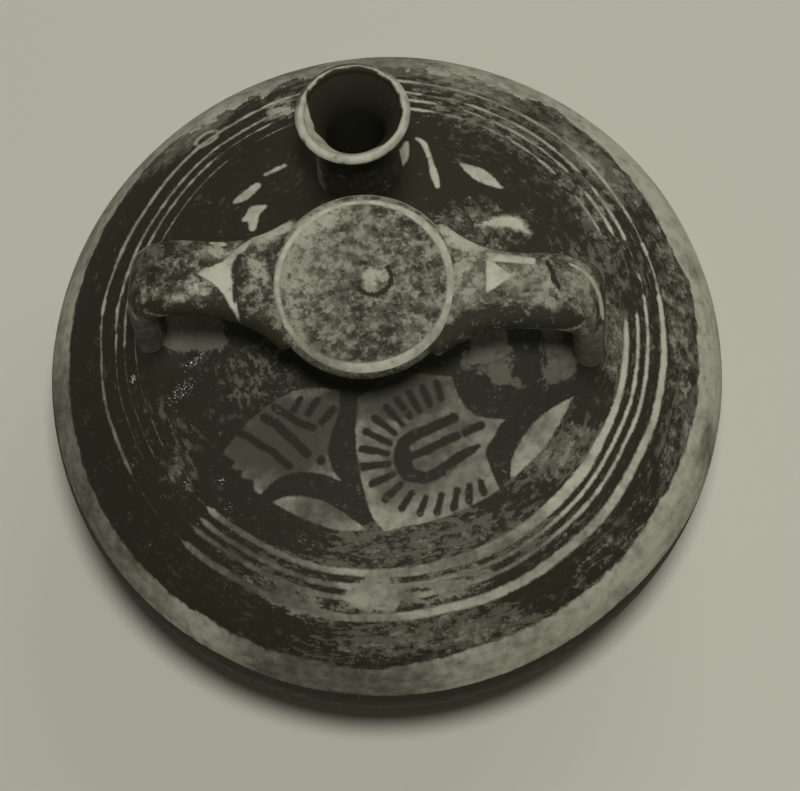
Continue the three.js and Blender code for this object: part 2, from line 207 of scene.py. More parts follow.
class Wire:
    """A socket of a node tree that can be reckoned with like a number."""

    def __init__(self, graph, socket):
        self.graph, self.socket = graph, socket

    def __abs__(self):
        return self.graph.math("ABSOLUTE", self)

    __add__, __radd__ = reckoned("ADD")
    __sub__, __rsub__ = reckoned("SUBTRACT")
    __mul__, __rmul__ = reckoned("MULTIPLY")
    __truediv__, __rtruediv__ = reckoned("DIVIDE")
    __pow__ = reckoned("POWER")[0]
    __gt__ = reckoned("GREATER_THAN")[0]


class Graph:
    """Writes a shader tree or a geometry tree."""

    def __init__(self, tree):
        self.tree = tree

    def node(self, kind, inputs=None, out=0, **settings):
        made = self.tree.nodes.new(kind)
        for key, value in settings.items():
            setattr(made, key, value)
        for key, value in (inputs or {}).items():
            self.feed(made.inputs[key], value)
        return Wire(self, made.outputs[out])

    def feed(self, socket, value):
        if isinstance(value, Wire):
            self.tree.links.new(value.socket, socket)
        else:
            socket.default_value = value

    def math(self, operation, *values):
        return self.node("ShaderNodeMath", dict(enumerate(values)), operation=operation)

    def scaled(self, vector, scale):
        return self.node("ShaderNodeVectorMath", {0: vector, "Scale": scale}, operation="SCALE")

    def split(self, vector):
        made = self.tree.nodes.new("ShaderNodeSeparateXYZ")
        self.feed(made.inputs[0], vector)
        return [Wire(self, socket) for socket in made.outputs]

    def joined(self, x, y, z):
        return self.node("ShaderNodeCombineXYZ", {0: x, 1: y, 2: z})

    def smallest(self, first, *others):
        for other in others:
            first = self.math("MINIMUM", first, other)
        return first

    def largest(self, first, *others):
        for other in others:
            first = self.math("MAXIMUM", first, other)
        return first

    def step(self, value, low, high):
        """From 0 at low to 1 at high, with soft ends."""
        inputs = {"Value": value, "From Min": low, "From Max": high}
        return self.node("ShaderNodeMapRange", inputs, interpolation_type="SMOOTHSTEP")

    def noise(self, place, scale, detail, roughness):
        inputs = {"Vector": place, "Scale": scale, "Detail": detail, "Roughness": roughness}
        return self.node("ShaderNodeTexNoise", inputs)

    def uneven(self, noise, share):
        """A noise about zero, for an edge that isn't even."""
        return (noise - 0.5) * share

    def blend(self, share, first, second):
        """A colour between two colours."""
        inputs = {0: share, 6: first, 7: second}
        return self.node("ShaderNodeMix", inputs, out=2, data_type="RGBA")


def shape_tree(name, sizes):
    """A geometry tree with named inputs: gives its graph and its inputs as wires."""
    tree = bpy.data.node_groups.new(name, "GeometryNodeTree")
    tree.interface.new_socket(name="Geometry", in_out="INPUT", socket_type="NodeSocketGeometry")
    for size, kind in sizes.items():
        tree.interface.new_socket(name=size, in_out="INPUT", socket_type="NodeSocket" + kind)
    tree.interface.new_socket(name="Geometry", in_out="OUTPUT", socket_type="NodeSocketGeometry")
    graph = Graph(tree)
    start = tree.nodes.new("NodeGroupInput")
    return graph, {socket.name: Wire(graph, socket) for socket in start.outputs if socket.name}


def end_tree(graph, geometry, material):
    smooth = graph.node("GeometryNodeSetShadeSmooth", {"Geometry": geometry})
    real = graph.node("GeometryNodeRealizeInstances", {"Geometry": smooth})
    finished = graph.node("GeometryNodeSetMaterial", {"Geometry": real, "Material": material})
    end = graph.tree.nodes.new("NodeGroupOutput")
    graph.feed(end.inputs[0], finished)
    return graph.tree


def thrown_wall_tree():
    """A wall thrown on the wheel, from the pole outside over the rim to the pole inside."""
    g, size = shape_tree("thrown wall", {
        "Radius": "Float", "Rise": "Float", "Power": "Float", "Wall": "Float", "Rim height": "Float",
        "Upwards": "Float", "Columns": "Int", "Outer rows": "Int", "Inner rows": "Int",
        "Front density": "Float", "Wobble": "Float", "Ridge": "Float", "Material": "Material",
    })
    rows = size["Outer rows"] + size["Inner rows"] + 1
    grid = g.node("GeometryNodeMeshGrid", {
        "Size X": 1.0, "Size Y": 1.0, "Vertices X": size["Columns"] + 1, "Vertices Y": rows + 1,
    })
    across, along, _ = g.split(g.node("GeometryNodeInputPosition"))
    row = (along + 0.5) * rows
    inside = row > size["Outer rows"] + 0.5
    outer_turn = 1 - row / size["Outer rows"]
    inner_turn = (row - size["Outer rows"] - 1) / size["Inner rows"]
    quarter = (outer_turn * (1 - inside) + inner_turn * inside) * (math.pi / 2)
    cosine = g.largest(g.math("COSINE", quarter), 0)
    radius = (size["Radius"] - size["Wall"] * inside) * cosine ** (2 / size["Power"])
    rise = (size["Rise"] - size["Wall"] * inside) * g.math("SINE", quarter)
    height = size["Rim height"] + size["Upwards"] * rise
    turn = (across + 0.5) * (2 * math.pi)
    azimuth = turn + math.pi / 2 + size["Front density"] * g.math("SINE", turn)
    east, north = g.math("COSINE", azimuth), g.math("SINE", azimuth)
    place = g.joined(radius * east, radius * north, height)
    sway, hand = g.noise(place, *WALL_SWAY), g.noise(place, *HAND_SWAY)
    ridges = g.math("SINE", quarter * RIDGE_PITCH + hand * RIDGE_SWAY) * 0.5 + 0.5
    shrink = 1 - (size["Wobble"] * sway + size["Ridge"] * ridges) / size["Radius"]
    placed = g.scaled(g.joined(radius * east * shrink, radius * north * shrink, height), MM)
    wall = g.node("GeometryNodeSetPosition", {"Geometry": grid, "Position": placed})
    closed = g.node("GeometryNodeMergeByDistance", {"Geometry": wall, "Distance": SEAM})
    return end_tree(g, closed, size["Material"])


def turned_tree():
    """A piece turned on the wheel. Its starting mesh holds the outline, x out from the axis and z up."""
    g, size = shape_tree("turned piece", {
        "Points": "Int", "Sides": "Int", "Wobble": "Float", "Place": "Vector", "Lean": "Float",
        "Material": "Material",
    })
    grid = g.node("GeometryNodeMeshGrid", {
        "Size X": 1.0, "Size Y": 1.0, "Vertices X": size["Sides"] + 1, "Vertices Y": size["Points"],
    })
    across, along, _ = g.split(g.node("GeometryNodeInputPosition"))
    row = g.math("ROUND", (along + 0.5) * (size["Points"] - 1))
    outline = g.node("GeometryNodeSampleIndex", {
        "Geometry": size["Geometry"], "Value": g.node("GeometryNodeInputPosition"), "Index": row,
    }, data_type="FLOAT_VECTOR")
    radius, _, height = g.split(outline)
    azimuth = (across + 0.5) * (2 * math.pi)
    x, y = radius * g.math("COSINE", azimuth), radius * g.math("SINE", azimuth)
    sway = g.noise(g.joined(x, y, height), *TURNED_SWAY)
    shrink = 1 - size["Wobble"] * sway
    placed = g.scaled(g.joined(x * shrink, y * shrink, height), MM)
    piece = g.node("GeometryNodeSetPosition", {"Geometry": grid, "Position": placed})
    closed = g.node("GeometryNodeMergeByDistance", {"Geometry": piece, "Distance": SEAM})
    moved = g.node("GeometryNodeTransform", {
        "Geometry": closed, "Translation": g.scaled(size["Place"], MM),
        "Rotation": g.joined(size["Lean"], 0.0, 0.0),
    })
    return end_tree(g, moved, size["Material"])


def pierced_wall_tree():
    """A round hole bored through a wall along a leaning axis."""
    g, size = shape_tree("pierced wall", {
        "Hole radius": "Float", "Depth": "Float", "Place": "Vector", "Lean": "Float", "Material": "Material",
    })
    bar = g.node("GeometryNodeMeshCylinder", {
        "Vertices": DRILL_SIDES, "Radius": size["Hole radius"] * MM, "Depth": size["Depth"] * MM,
    })
    placed = g.node("GeometryNodeTransform", {
        "Geometry": bar, "Translation": g.scaled(size["Place"], MM),
        "Rotation": g.joined(size["Lean"], 0.0, 0.0),
    })
    inputs = {"Mesh 1": size["Geometry"], "Mesh 2": placed}
    bored = g.node("GeometryNodeMeshBoolean", inputs, operation="DIFFERENCE", solver="MANIFOLD")
    return end_tree(g, bored, size["Material"])


def finish_mesh(mesh):
    """Turns the faces outwards and keeps corners crisp."""
    points = points_of(mesh)
    mesh.calc_loop_triangles()
    corners = np.zeros(len(mesh.loop_triangles) * 3, dtype=np.int32)
    mesh.loop_triangles.foreach_get("vertices", corners)
    a, b, c = (points[corners.reshape(-1, 3)[:, i]] for i in range(3))
    if np.einsum("ij,ij->i", a, np.cross(b, c)).sum() < 0:
        mesh.flip_normals()
    mesh.set_sharp_from_angle(angle=CRISP)


def points_of(mesh):
    """A mesh's points in millimetres."""
    points = np.zeros(len(mesh.vertices) * 3)
    mesh.vertices.foreach_get("co", points)
    return points.reshape(-1, 3) / MM


def object_with(name, mesh):
    thing = bpy.data.objects.new(name, mesh)
    bpy.context.scene.collection.objects.link(thing)
    return thing


def grow(thing, tree, sizes):
    """Makes an object's mesh into what a geometry tree gives, and takes the modifier off again."""
    maker = thing.modifiers.new(tree.name, "NODES")
    maker.node_group = tree
    for socket in tree.interface.items_tree:
        if socket.in_out == "INPUT" and socket.name in sizes:
            maker[socket.identifier] = sizes[socket.name]
    depsgraph = bpy.context.evaluated_depsgraph_get()
    made = bpy.data.meshes.new_from_object(thing.evaluated_get(depsgraph), depsgraph=depsgraph)
    made.name = thing.name
    thing.modifiers.clear()
    thing.data = made
    finish_mesh(made)


def lofted(name, rings, material, joined=False):
    """A closed skin over rings of points, joined end to start or capped at both ends."""
    count, around = rings.shape[:2]
    faces = []
    for i in range(count if joined else count - 1):
        for k in range(around):
            here, there = i * around, (i + 1) % count * around
            side = (k + 1) % around
            faces.append((here + k, here + side, there + side, there + k))
    if not joined:
        faces.append(tuple(range(around))[::-1])
        faces.append(tuple((count - 1) * around + k for k in range(around)))
    mesh = bpy.data.meshes.new(name)
    mesh.from_pydata((rings.reshape(-1, 3) * MM).tolist(), [], faces)
    mesh.materials.append(material)
    mesh.polygons.foreach_set("use_smooth", [True] * len(faces))
    finish_mesh(mesh)
    return object_with(name, mesh)


def paint(thing, rule, *details):
    """Keeps what a rule says of the paint at each point of a piece."""
    for name, values in rule(points_of(thing.data), *details).items():
        field = thing.data.attributes.new(name, "FLOAT", "POINT")
        field.data.foreach_set("value", np.asarray(values, dtype=np.float32))


# Curves and brush strokes


def eased(points, steps=7):
    """A smooth run through points, ends included."""
    points = np.array(points, dtype=float)
    ends = np.vstack([2 * points[0] - points[1], points, 2 * points[-1] - points[-2]])
    share = np.linspace(0, 1, steps, endpoint=False)[:, None]
    run = []
    for before, start, end, after in zip(ends, ends[1:], ends[2:], ends[3:]):
        run.append(0.5 * (
            2 * start + (end - before) * share
            + (2 * before - 5 * start + 4 * end - after) * share ** 2
            + (3 * start - before - 3 * end + after) * share ** 3
        ))
    return np.vstack(run + [points[-1:]])


def bezier(start, control, end, steps):
    share = np.linspace(0, 1, steps + 1)[:, None]
    start, control, end = (np.array(p, dtype=float) for p in (start, control, end))
    return (1 - share) ** 2 * start + 2 * share * (1 - share) * control + share ** 2 * end


def arc(centre, radius, start, end, steps):
    angle = np.radians(np.linspace(start, end, steps + 1))
    return np.stack([centre[0] + radius * np.cos(angle), centre[1] + radius * np.sin(angle)], axis=1)


def straight(start, end, steps):
    share = np.linspace(0, 1, steps + 1)[:, None]
    return np.array(start, dtype=float) * (1 - share) + np.array(end, dtype=float) * share


def ramp(value, start, end):
    """From 0 at the start to 1 at the end, and no further."""
    return np.clip((value - start) / (end - start), 0, 1)


def mixed(first, second, share):
    return first + (second - first) * share


def waves(azimuth, rows):
    """Unevenness round a piece: the height, count and shift of each wave in it."""
    return sum(height * np.sin(count * azimuth + shift) for height, count, shift in rows)


def depth_in_stroke(where, line, widths):
    """How far points are inside a brush stroke; negative outside it."""
    line = np.asarray(line, dtype=float)
    widths = np.broadcast_to(np.asarray(widths, dtype=float), (len(line),))
    depth = np.full(len(where), -np.inf)
    for start, end, first, last in zip(line, line[1:], widths, widths[1:]):
        along = end - start
        share = np.clip((where - start) @ along / max(along @ along, TINY), 0, 1)
        away = np.linalg.norm(where - start - share[:, None] * along, axis=1)
        depth = np.maximum(depth, (first + (last - first) * share) / 2 - away)
    return depth


def depth_in_outline(where, outline):
    """How far points are inside a closed outline; negative outside it."""
    inside = np.zeros(len(where), dtype=bool)
    following = np.roll(outline, -1, axis=0)
    for (ax, ay), (bx, by) in zip(outline, following):
        crosses = (ay > where[:, 1]) != (by > where[:, 1])
        if ay != by:
            inside ^= crosses & (where[:, 0] < ax + (where[:, 1] - ay) * (bx - ax) / (by - ay))
    edge = -depth_in_stroke(where, np.vstack([outline, outline[:1]]), 0)
    return np.where(inside, edge, -edge)


def soft_patch(where, middle, size, turn=0.0):
    """1 in the middle of a patch, 0 well outside it."""
    c, s = math.cos(math.radians(turn)), math.sin(math.radians(turn))
    x, y = (where - np.array(middle)).T
    u, v = (x * c + y * s) / size[0], (y * c - x * s) / size[1]
    return np.exp(-(u * u + v * v) ** PATCH_STEEPNESS)


def shoulder_height(x, y):
    share = np.clip(np.hypot(x, y) / BELLY_RADIUS, 0, 1) ** SHOULDER_POWER
    return BELLY_HEIGHT + SHOULDER_RISE * np.sqrt(1 - share)


def bowl_underside(radius):
    return BELLY_HEIGHT - BOWL_DROP * np.sqrt(1 - (radius / BELLY_RADIUS) ** BOWL_POWER)


# The painter's design on the shoulder, seen from above in parts of the belly's radius, the spout towards +y

# Light fields, each closed by runs of points. A run bends smoothly, up to the corner that starts the next.
RIGHT_GROUND = [
    [(-0.0825, -0.22), (-0.10, -0.32), (-0.102, -0.43), (-0.085, -0.545)],
    [(-0.056, -0.597), (0.065, -0.588), (0.146, -0.573), (0.215, -0.55)],
    [(0.283, -0.52), (0.265, -0.455), (0.26, -0.41), (0.283, -0.377), (0.31, -0.34)],
    [(0.325, -0.328), (0.26, -0.315), (0.222, -0.287), (0.203, -0.25)],
    [(0.19, -0.19), (0.05, -0.17)],
]
LEFT_GROUND = [
    [(-0.16, -0.445), (-0.178, -0.41), (-0.184, -0.365), (-0.172, -0.315), (-0.14, -0.25)],
    [(-0.13, -0.19), (-0.22, -0.17), (-0.3, -0.185), (-0.38, -0.225), (-0.44, -0.27)],
    [(-0.485, -0.315)],
    [(-0.45, -0.338)],
    [(-0.466, -0.358)],
    [(-0.43, -0.37)],
    [(-0.44, -0.386)],
    [(-0.405, -0.405), (-0.405, -0.43)],
    [(-0.39, -0.443), (-0.337, -0.411), (-0.27, -0.403), (-0.212, -0.418)],
]
LEFT_LENS = [
    [(-0.36, -0.472), (-0.32, -0.4646), (-0.27, -0.472), (-0.212, -0.496), (-0.16, -0.535)],
    [(-0.105, -0.588), (-0.17, -0.58), (-0.245, -0.55), (-0.31, -0.51)],
]
RIGHT_LENS = [
    [(0.32, -0.495), (0.33, -0.44), (0.372, -0.377), (0.434, -0.322)],
    [(0.53, -0.273), (0.465, -0.365), (0.408, -0.43)],
]
RESERVED_FIELDS = [RIGHT_GROUND, LEFT_GROUND, LEFT_LENS, RIGHT_LENS]

# The right flower: petals round a horseshoe, between the curves of their outer and inner ends.
# Every second petal stands at a point of these curves.
PETAL_OUTER_ENDS = [
    (0.146, -0.204), (0.0635, -0.223), (-0.004, -0.258), (-0.071, -0.319), (-0.092, -0.415),
    (-0.04, -0.5115), (0.052, -0.5615), (0.148, -0.558), (0.238, -0.523),
]
PETAL_INNER_ENDS = [
    (0.152, -0.252), (0.0865, -0.279), (0.0327, -0.31), (-0.0077, -0.36), (-0.019, -0.417),
    (0.0077, -0.477), (0.073, -0.523), (0.165, -0.51), (0.2346, -0.496),
]
PETAL_WIDTHS = (0.023, 0.019)
PETALS_PER_POINT = 2

# Dark strokes: points along the brush's way, and its widths
HORSESHOE = [
    (0.181, -0.31), (0.108, -0.333), (0.035, -0.3615), (0.0238, -0.4077), (0.0354, -0.452),
    (0.0846, -0.466), (0.131, -0.45), (0.169, -0.427), (0.2077, -0.4096), (0.24, -0.396),
]
HORSESHOE_WIDTHS = [0.031, 0.031, 0.038, 0.052, 0.043, 0.033, 0.033, 0.031, 0.025, 0.016]
DARK_STROKES = [
    (HORSESHOE, HORSESHOE_WIDTHS),
    ([(0.05, -0.402), (0.085, -0.395), (0.146, -0.372), (0.184, -0.361)], 0.025),
    ([(0.207, -0.354), (0.256, -0.338)], 0.023),
    ([(-0.43, -0.263), (-0.399, -0.284), (-0.37, -0.313), (-0.341, -0.334), (-0.324, -0.355),
      (-0.297, -0.384)], 0.022),
    ([(-0.353, -0.234), (-0.32, -0.26), (-0.295, -0.2925), (-0.27, -0.322), (-0.245, -0.355)], 0.027),
    ([(-0.32, -0.21), (-0.287, -0.238), (-0.2575, -0.264), (-0.22, -0.285)], 0.022),
    ([(-0.2085, -0.381), (-0.2065, -0.379)], 0.027),
    ([(-0.266, -0.226), (-0.245, -0.197)], 0.02),
    ([(-0.226, -0.2425), (-0.197, -0.209)], 0.022),
    ([(-0.19, -0.272), (-0.155, -0.2425)], 0.024),
]

# Light marks on the dark back of the shoulder
LIGHT_STROKES = [
    ([(0.296, 0.467), (0.352, 0.421), (0.408, 0.375)], [0.008, 0.042, 0.006]),
    ([(0.182, 0.567), (0.201, 0.54), (0.211, 0.486), (0.217, 0.433), (0.222, 0.396)],
     [0.01, 0.014, 0.012, 0.022, 0.012]),
    ([(0.150, 0.552), (0.133, 0.498), (0.113, 0.435)], [0.012, 0.030, 0.006]),
    ([(-0.368, 0.44), (-0.335, 0.455), (-0.296, 0.48)], [0.012, 0.028, 0.02]),
    ([(-0.345, 0.375), (-0.31, 0.395), (-0.283, 0.405)], [0.014, 0.03, 0.012]),
    ([(-0.315, 0.395), (-0.325, 0.342)], [0.04, 0.02]),
    ([(-0.27, 0.513), (-0.21, 0.533)], 0.011),
]

# A small ring beside the outer line: middle, half sizes, turn in degrees, and the brush's width
BLOT_RING = ((-0.434, 0.697), (0.038, 0.022), 25, 0.012)
BLOT_RING_POINTS = 25

# Fields of smooth thin slip under the straps, and a thick drip over one of them
THIN_OVALS = [
    (0.9, [(-0.698, 0.094), (-0.665, 0.047), (-0.617, 0.015), (-0.556, 0.0), (-0.491, -0.008), (-0.44, -0.01),
     (-0.45, 0.11), (-0.56, 0.16), (-0.66, 0.15)]),
    (0.80, [(0.212, -0.178), (0.233, -0.124), (0.259, -0.084), (0.296, -0.04), (0.37, 0.0), (0.46, 0.0),
     (0.546, -0.06), (0.558, -0.147), (0.544, -0.202), (0.52, -0.229), (0.422, -0.246), (0.322, -0.223),
     (0.26, -0.183)]),
]
DRIP = [(0.41, -0.03), (0.415, -0.12), (0.41, -0.18), (0.412, -0.24)]
DRIP_WIDTHS = [0.085, 0.075, 0.085, 0.05]

PATCH_STEEPNESS = 1.5

# Patches of thin slip, worn slip, lime, and dirt with painted shade: middle, half sizes, turn in degrees, and
# how much
THIN_PATCHES = [
    ((0.08, -0.635), (0.55, 0.08), 0, 0.62),
    ((0.47, -0.43), (0.17, 0.09), 30, 0.62),
    ((0.10, 0.92), (0.65, 0.14), 0, 0.80),
    ((-0.38, 0.84), (0.26, 0.10), 28, 0.55),
    ((-0.36, -0.12), (0.13, 0.12), 0, 0.45),
    ((-0.60, -0.25), (0.06, 0.16), 20, 0.40),
    ((0.05, -0.86), (0.42, 0.07), 0, 0.60),
    ((0.83, -0.05), (0.10, 0.40), 0, 0.35),
    ((0.62, 0.10), (0.14, 0.22), 0, 0.30),
    ((0.33, 0.26), (0.16, 0.10), 0, 0.45),
    ((0.58, 0.60), (0.36, 0.22), -45, 0.42),
    ((0.90, 0.15), (0.12, 0.45), 0, 0.45),
    ((-0.45, 0.86), (0.40, 0.10), 28, 0.50),
    ((0.66, 0.12), (0.10, 0.16), 0, 0.60),
    ((0.665, -0.12), (0.06, 0.16), 0, 0.60),
    ((0.82, -0.38), (0.09, 0.22), -25, 0.48),
    ((0.36, 0.775), (0.26, 0.07), -28, 0.85),
    ((0.67, 0.49), (0.08, 0.24), 38, 0.75),
    ((-0.45, 0.745), (0.24, 0.045), 31, 0.90),
]
WORN_PATCHES = [
    ((-0.09, -0.755), (0.12, 0.065), 0, 0.60),
    ((0.10, -0.76), (0.16, 0.05), 10, 0.55),
    ((-0.33, -0.735), (0.17, 0.045), -28, 0.60),
    ((0.10, -0.64), (0.50, 0.06), 0, 0.24),
    ((0.47, -0.43), (0.14, 0.07), 30, 0.36),
    ((0.05, -0.87), (0.40, 0.06), 0, 0.36),
    ((0.60, -0.68), (0.30, 0.07), 42, 0.26),
    ((0.87, -0.05), (0.07, 0.45), 0, 0.36),
    ((0.66, 0.30), (0.09, 0.20), 25, 0.34),
    ((0.35, 0.66), (0.30, 0.10), -35, 0.36),
    ((0.66, 0.66), (0.30, 0.08), -45, 0.36),
    ((-0.42, 0.88), (0.36, 0.05), 26, 0.34),
    ((0.15, 0.97), (0.50, 0.06), 0, 0.40),
    ((0.33, 0.25), (0.20, 0.10), 0, 0.32),
    ((-0.50, 0.70), (0.16, 0.05), 40, 0.22),
    ((-0.62, -0.34), (0.05, 0.10), 20, 0.30),
    ((-0.20, 0.75), (0.07, 0.06), 0, 0.55),
    ((0.665, -0.10), (0.05, 0.16), 0, 0.40),
    ((0.84, -0.38), (0.07, 0.20), -25, 0.34),
    ((0.36, 0.775), (0.26, 0.06), -28, 0.46),
    ((0.69, 0.47), (0.07, 0.22), 38, 0.46),
    ((-0.45, 0.745), (0.24, 0.045), 31, 0.36),
]
# Outlines of two large losses
LOSSES = [
    [(-0.185, -0.722), (-0.113, -0.724), (-0.037, -0.75), (-0.054, -0.808), (-0.179, -0.781)],
    [(0.299, 0.262), (0.36, 0.279), (0.424, 0.288), (0.459, 0.26), (0.468, 0.218), (0.399, 0.244)],
]
LIME_PATCHES = [
    ((-0.532, -0.034), (0.050, 0.024), 25, 1.05),
    ((-0.578, -0.104), (0.060, 0.032), 30, 1.05),
    ((-0.614, -0.128), (0.025, 0.020), 0, 1.05),
    ((-0.720, -0.036), (0.014, 0.014), 0, 1.6),
    ((-0.600, -0.368), (0.022, 0.016), 0, 1.15),
    ((-0.495, -0.382), (0.020, 0.016), 0, 1.15),
    ((-0.485, -0.461), (0.018, 0.014), 0, 1.15),
    ((-0.749, -0.276), (0.018, 0.014), 0, 1.05),
    ((-0.10, -0.30), (1.0, 1.0), 0, 0.28),
    ((-0.20, 0.75), (0.06, 0.05), 0, 0.8),
]
# Dirt and painted shade: the patches over the left and front of the belly are painted shade, those over the
# flowers' grounds next to the disc are the painted shadow of the disc and the neck, and the two small patches
# at the right edge are dirt
DIRT_AND_SHADE_PATCHES = [
    ((-0.90, -0.30), (0.55, 0.35), -70, 0.67),
    ((-0.44, -0.66), (0.40, 0.18), -38, 0.84),
    ((-0.25, -0.92), (0.42, 0.22), -15, 0.78),
    ((0.00, -0.95), (1.00, 0.35), 0, 0.36),
    ((-0.32, -0.30), (0.24, 0.18), 0, 1.1),
    ((0.05, -0.23), (0.22, 0.10), 0, 1.1),
    ((-0.16, -0.245), (0.13, 0.07), 0, 1.1),
    ((-0.23, -0.52), (0.18, 0.08), 0, 0.82),
    ((0.10, -0.38), (0.32, 0.28), 0, 0.76),
    ((0.43, -0.37), (0.17, 0.14), 0, 0.56),
    ((0.20, -0.70), (0.50, 0.12), 8, 0.62),
    ((0.45, 0.62), (0.45, 0.22), -40, 0.42),
    ((-0.62, 0.52), (0.40, 0.25), 45, 0.45),
    ((0.00, 0.95), (0.60, 0.16), 0, 0.58),
    ((0.915, -0.37), (0.03, 0.08), -20, 0.66),
    ((0.935, 0.16), (0.025, 0.07), 10, 0.52),
]

# Reserved lines round the shoulder: radius, the share that no gap takes away, the narrowing at the right,
# a gap's azimuth and half its angle, and half widths at the front left, front right, back right and back left
RESERVED_LINES = [
    (49.4, 0.0, 0.45, (8.0, 11.0), 0.55, 1.05, 0.34, 0.02),
    (51.84, 0.0, 0.0, (8.0, 9.5), 0.46, 0.32, 0.30, 0.20),
    (53.87, 0.25, 0.0, (11.7, 4.0), 0.46, 0.32, 0.30, 0.26),
    (57.16, 0.65, 0.2, (17.0, 2.5), 0.54, 0.80, 0.36, 0.34),
]
# Where lines are whole, and where all of them break off: azimuth and half the angle, in degrees
SURE_LINES = [(23.0, 7.0), (138.0, 16.0)]
ARC_ENDS = 0.15  # share of the half angle over which such an arc ends softly
LINE_BREAK = (210.0, 9.0)
LINE_BREAK_TAKES = 0.75
LINE_SWAY = 1.4
LINE_ENDS = 0.3  # how fast a line closes where it breaks off
LINE_GAP_EDGE = (0.36, 0.54)
FEWER_GAPS_IN_FRONT = 0.3
# Slip brushed over the lines at the left: its direction, its edge and the share of the lines that it takes
OVERPAINTED_TOWARDS = (-0.961, -0.276)
OVERPAINTED_EDGE = (0.90, 0.975)
OVERPAINTED_TAKES = 0.7
NARROWING_EDGE = (0.70, 0.95)
# Soft edges between the left and right halves and between the back and the front
RIGHT_HALF = (-0.3, 0.3)
FRONT_HALF = (0.25, -0.35)

# The bare band round the belly: the radius of its upper edge, which lies further out at the front left and is
# torn most at the back, and the height of its lower edge, which sinks towards the right
BELLY_BAND = 64.5
BELLY_BAND_LEFT = 0.9
BELLY_BAND_TEAR = 1.6
BACK_TEAR = 9.0
BELLY_BAND_FOOT = 49.2
BELLY_BAND_SINKS = 4.5
BELLY_BAND_SINKS_AT = (0.55, 0.95)
BELLY_BAND_SWAY = 1.2
# Where the band's upper edge is washed inwards: azimuth, half the angle, and how far
BACK_WASH = (88.0, 35.0, 2.6)
BACK_RIGHT_WASH = (28.0, 19.0, 1.5)

# Bands round the bowl: the height where the belly's slip ends, then middles and half widths of those below it
BOWL_BELLY_SLIP = 33.0
BOWL_BANDS = [(29.6, 0.8), (26.4, 0.8), (8.0, 2.0)]

DESIGN_SHIFT = (-0.005, 0.006)
DESIGN_REACH = 0.85  # parts of the belly's radius
DESIGN_FOOT = BELLY_HEIGHT + 8  # height below which nothing is drawn
SOLID = 0.06  # depth in slip that nothing interrupts, in parts of the belly's radius
DEEP = 4  # the same in millimetres
OVAL_EDGE = 1.2  # widths of soft edges, in millimetres
DRIP_EDGE = 2.5
SHOULDER_WEAR = 0.06
SHOULDER_LIME = 0.04
LOSS_WEAR = 0.9

# Thinness, wear, lime and dirt on the bowl and on the foot, where a little slip is spilt
BOWL_PAINT = (0.40, 0.35, 0.05, 0.25)
BARE_PAINT = (0.40, 0.60, 0.05, 0.20)
SPILT_FROM = 0.72
SPILT_DEPTH = 8
# Slip on the neck, the same all over
EVEN_PAINT = {"painted": 4.0, "thin": 0.05, "worn": 0.08, "limed": 0.05, "dirt": 0.3}

# Paint on the disc: a ring, an eye with a lash below it, and ground and patches of the face between them
DISC_FACE_DEPTH = 0.9
DISC_SLIP = 1.0
DISC_LIME = 0.03
DISC_RING = 16.9
DISC_RING_MIDDLE = (0.1, -0.45)
DISC_RING_HALF = 0.62
DISC_RING_WAVES = [(0.22, 1, 0.9 + math.pi / 2), (0.12, 3, 0)]
DISC_RING_TO_RIM = 1.3
DISC_EYE = (2.0, 0.3)
LASH_RADIUS = 3.5
LASH_HALF = 0.4
LASH_SLOPE = 0.6
LASH_BELOW = -0.6
LASH = {"thin": -0.3, "worn": 0.1}
DISC_RIM = {"thin": 0.6, "worn": 0.46, "dirt": 0.35}
DISC_RIM_WEARS_BACKWARDS = 0.012
DISC_FACE = {
    "thin": ([((-8, 7), (9, 9), 0, 0.30)], 0.36),
    "worn": ([
        ((-8, 13), (7, 3), 30, 0.20), (DISC_EYE, (2.4, 2.0), 0, 0.25), ((-13, 1), (3, 6), 0, 0.10),
        ((0, -9), (12, 7), 0, -0.05),
    ], 0.42),
    "dirt": ([((-9, -14), (5, 4), 0, 0.40)], 0.18),
}

# Paint on the spout: bare clay on the lip, which runs down inside at one azimuth, where it is partly painted
# light on the lit inner wall, and a crust of lime
LIP_INSIDE = 0.70
LIP_OUTSIDE = 1.5
LIP_DEPTH = 2
LIP_DIRT = 0.75
LIP_RUN = 4.6
LIP_RUN_AZIMUTH = 234
LIP_JAGS = [(0.4, 9, 0), (0.3, 16, 1)]
LIP_NICKS = [(0.30, 7, 2), (0.25, 23, 0)]
SPOUT_CRUST = ((-10, 1), (4, 7))
# Inside, the slip is kept whole and at its darkest: dark slip, and also painted shade down the throat
SPOUT_INSIDE = {"thin": -0.9, "worn": 0.0, "limed": 0.05, "dirt": 0.05}
SPOUT_OUTSIDE = {"thin": 0.10, "worn": 0.10, "limed": 0.04, "dirt": 0.40}
CRUST_ADDS = {"thin": 0.7, "worn": 0.5, "limed": 0.7, "dirt": 0.0}


def most_of(where, patches, ground):
    """The strongest of several soft patches at each point, and at least the ground."""
    amount = np.full(len(where), ground)
    for *patch, share in patches:
        amount = np.maximum(amount, share * soft_patch(where, *patch))
    return amount


def sum_of(where, patches, ground):
    """Several soft patches added to the ground."""
    return ground + sum(share * soft_patch(where, *patch) for *patch, share in patches)


def soft_inside(depth, edge):
    """0 outside and 1 inside an outline, over an edge of some width."""
    return np.clip(depth / edge + 0.5, 0, 1)


def brushed(where, line, widths):
    """How far points are inside a stroke that a brush makes smoothly through a line's points."""
    line = np.asarray(line, dtype=float)
    widths = np.broadcast_to(np.asarray(widths, dtype=float), (len(line),))
    run = eased(np.column_stack([line, widths]))
    return depth_in_stroke(where, run[:, :2], run[:, 2])


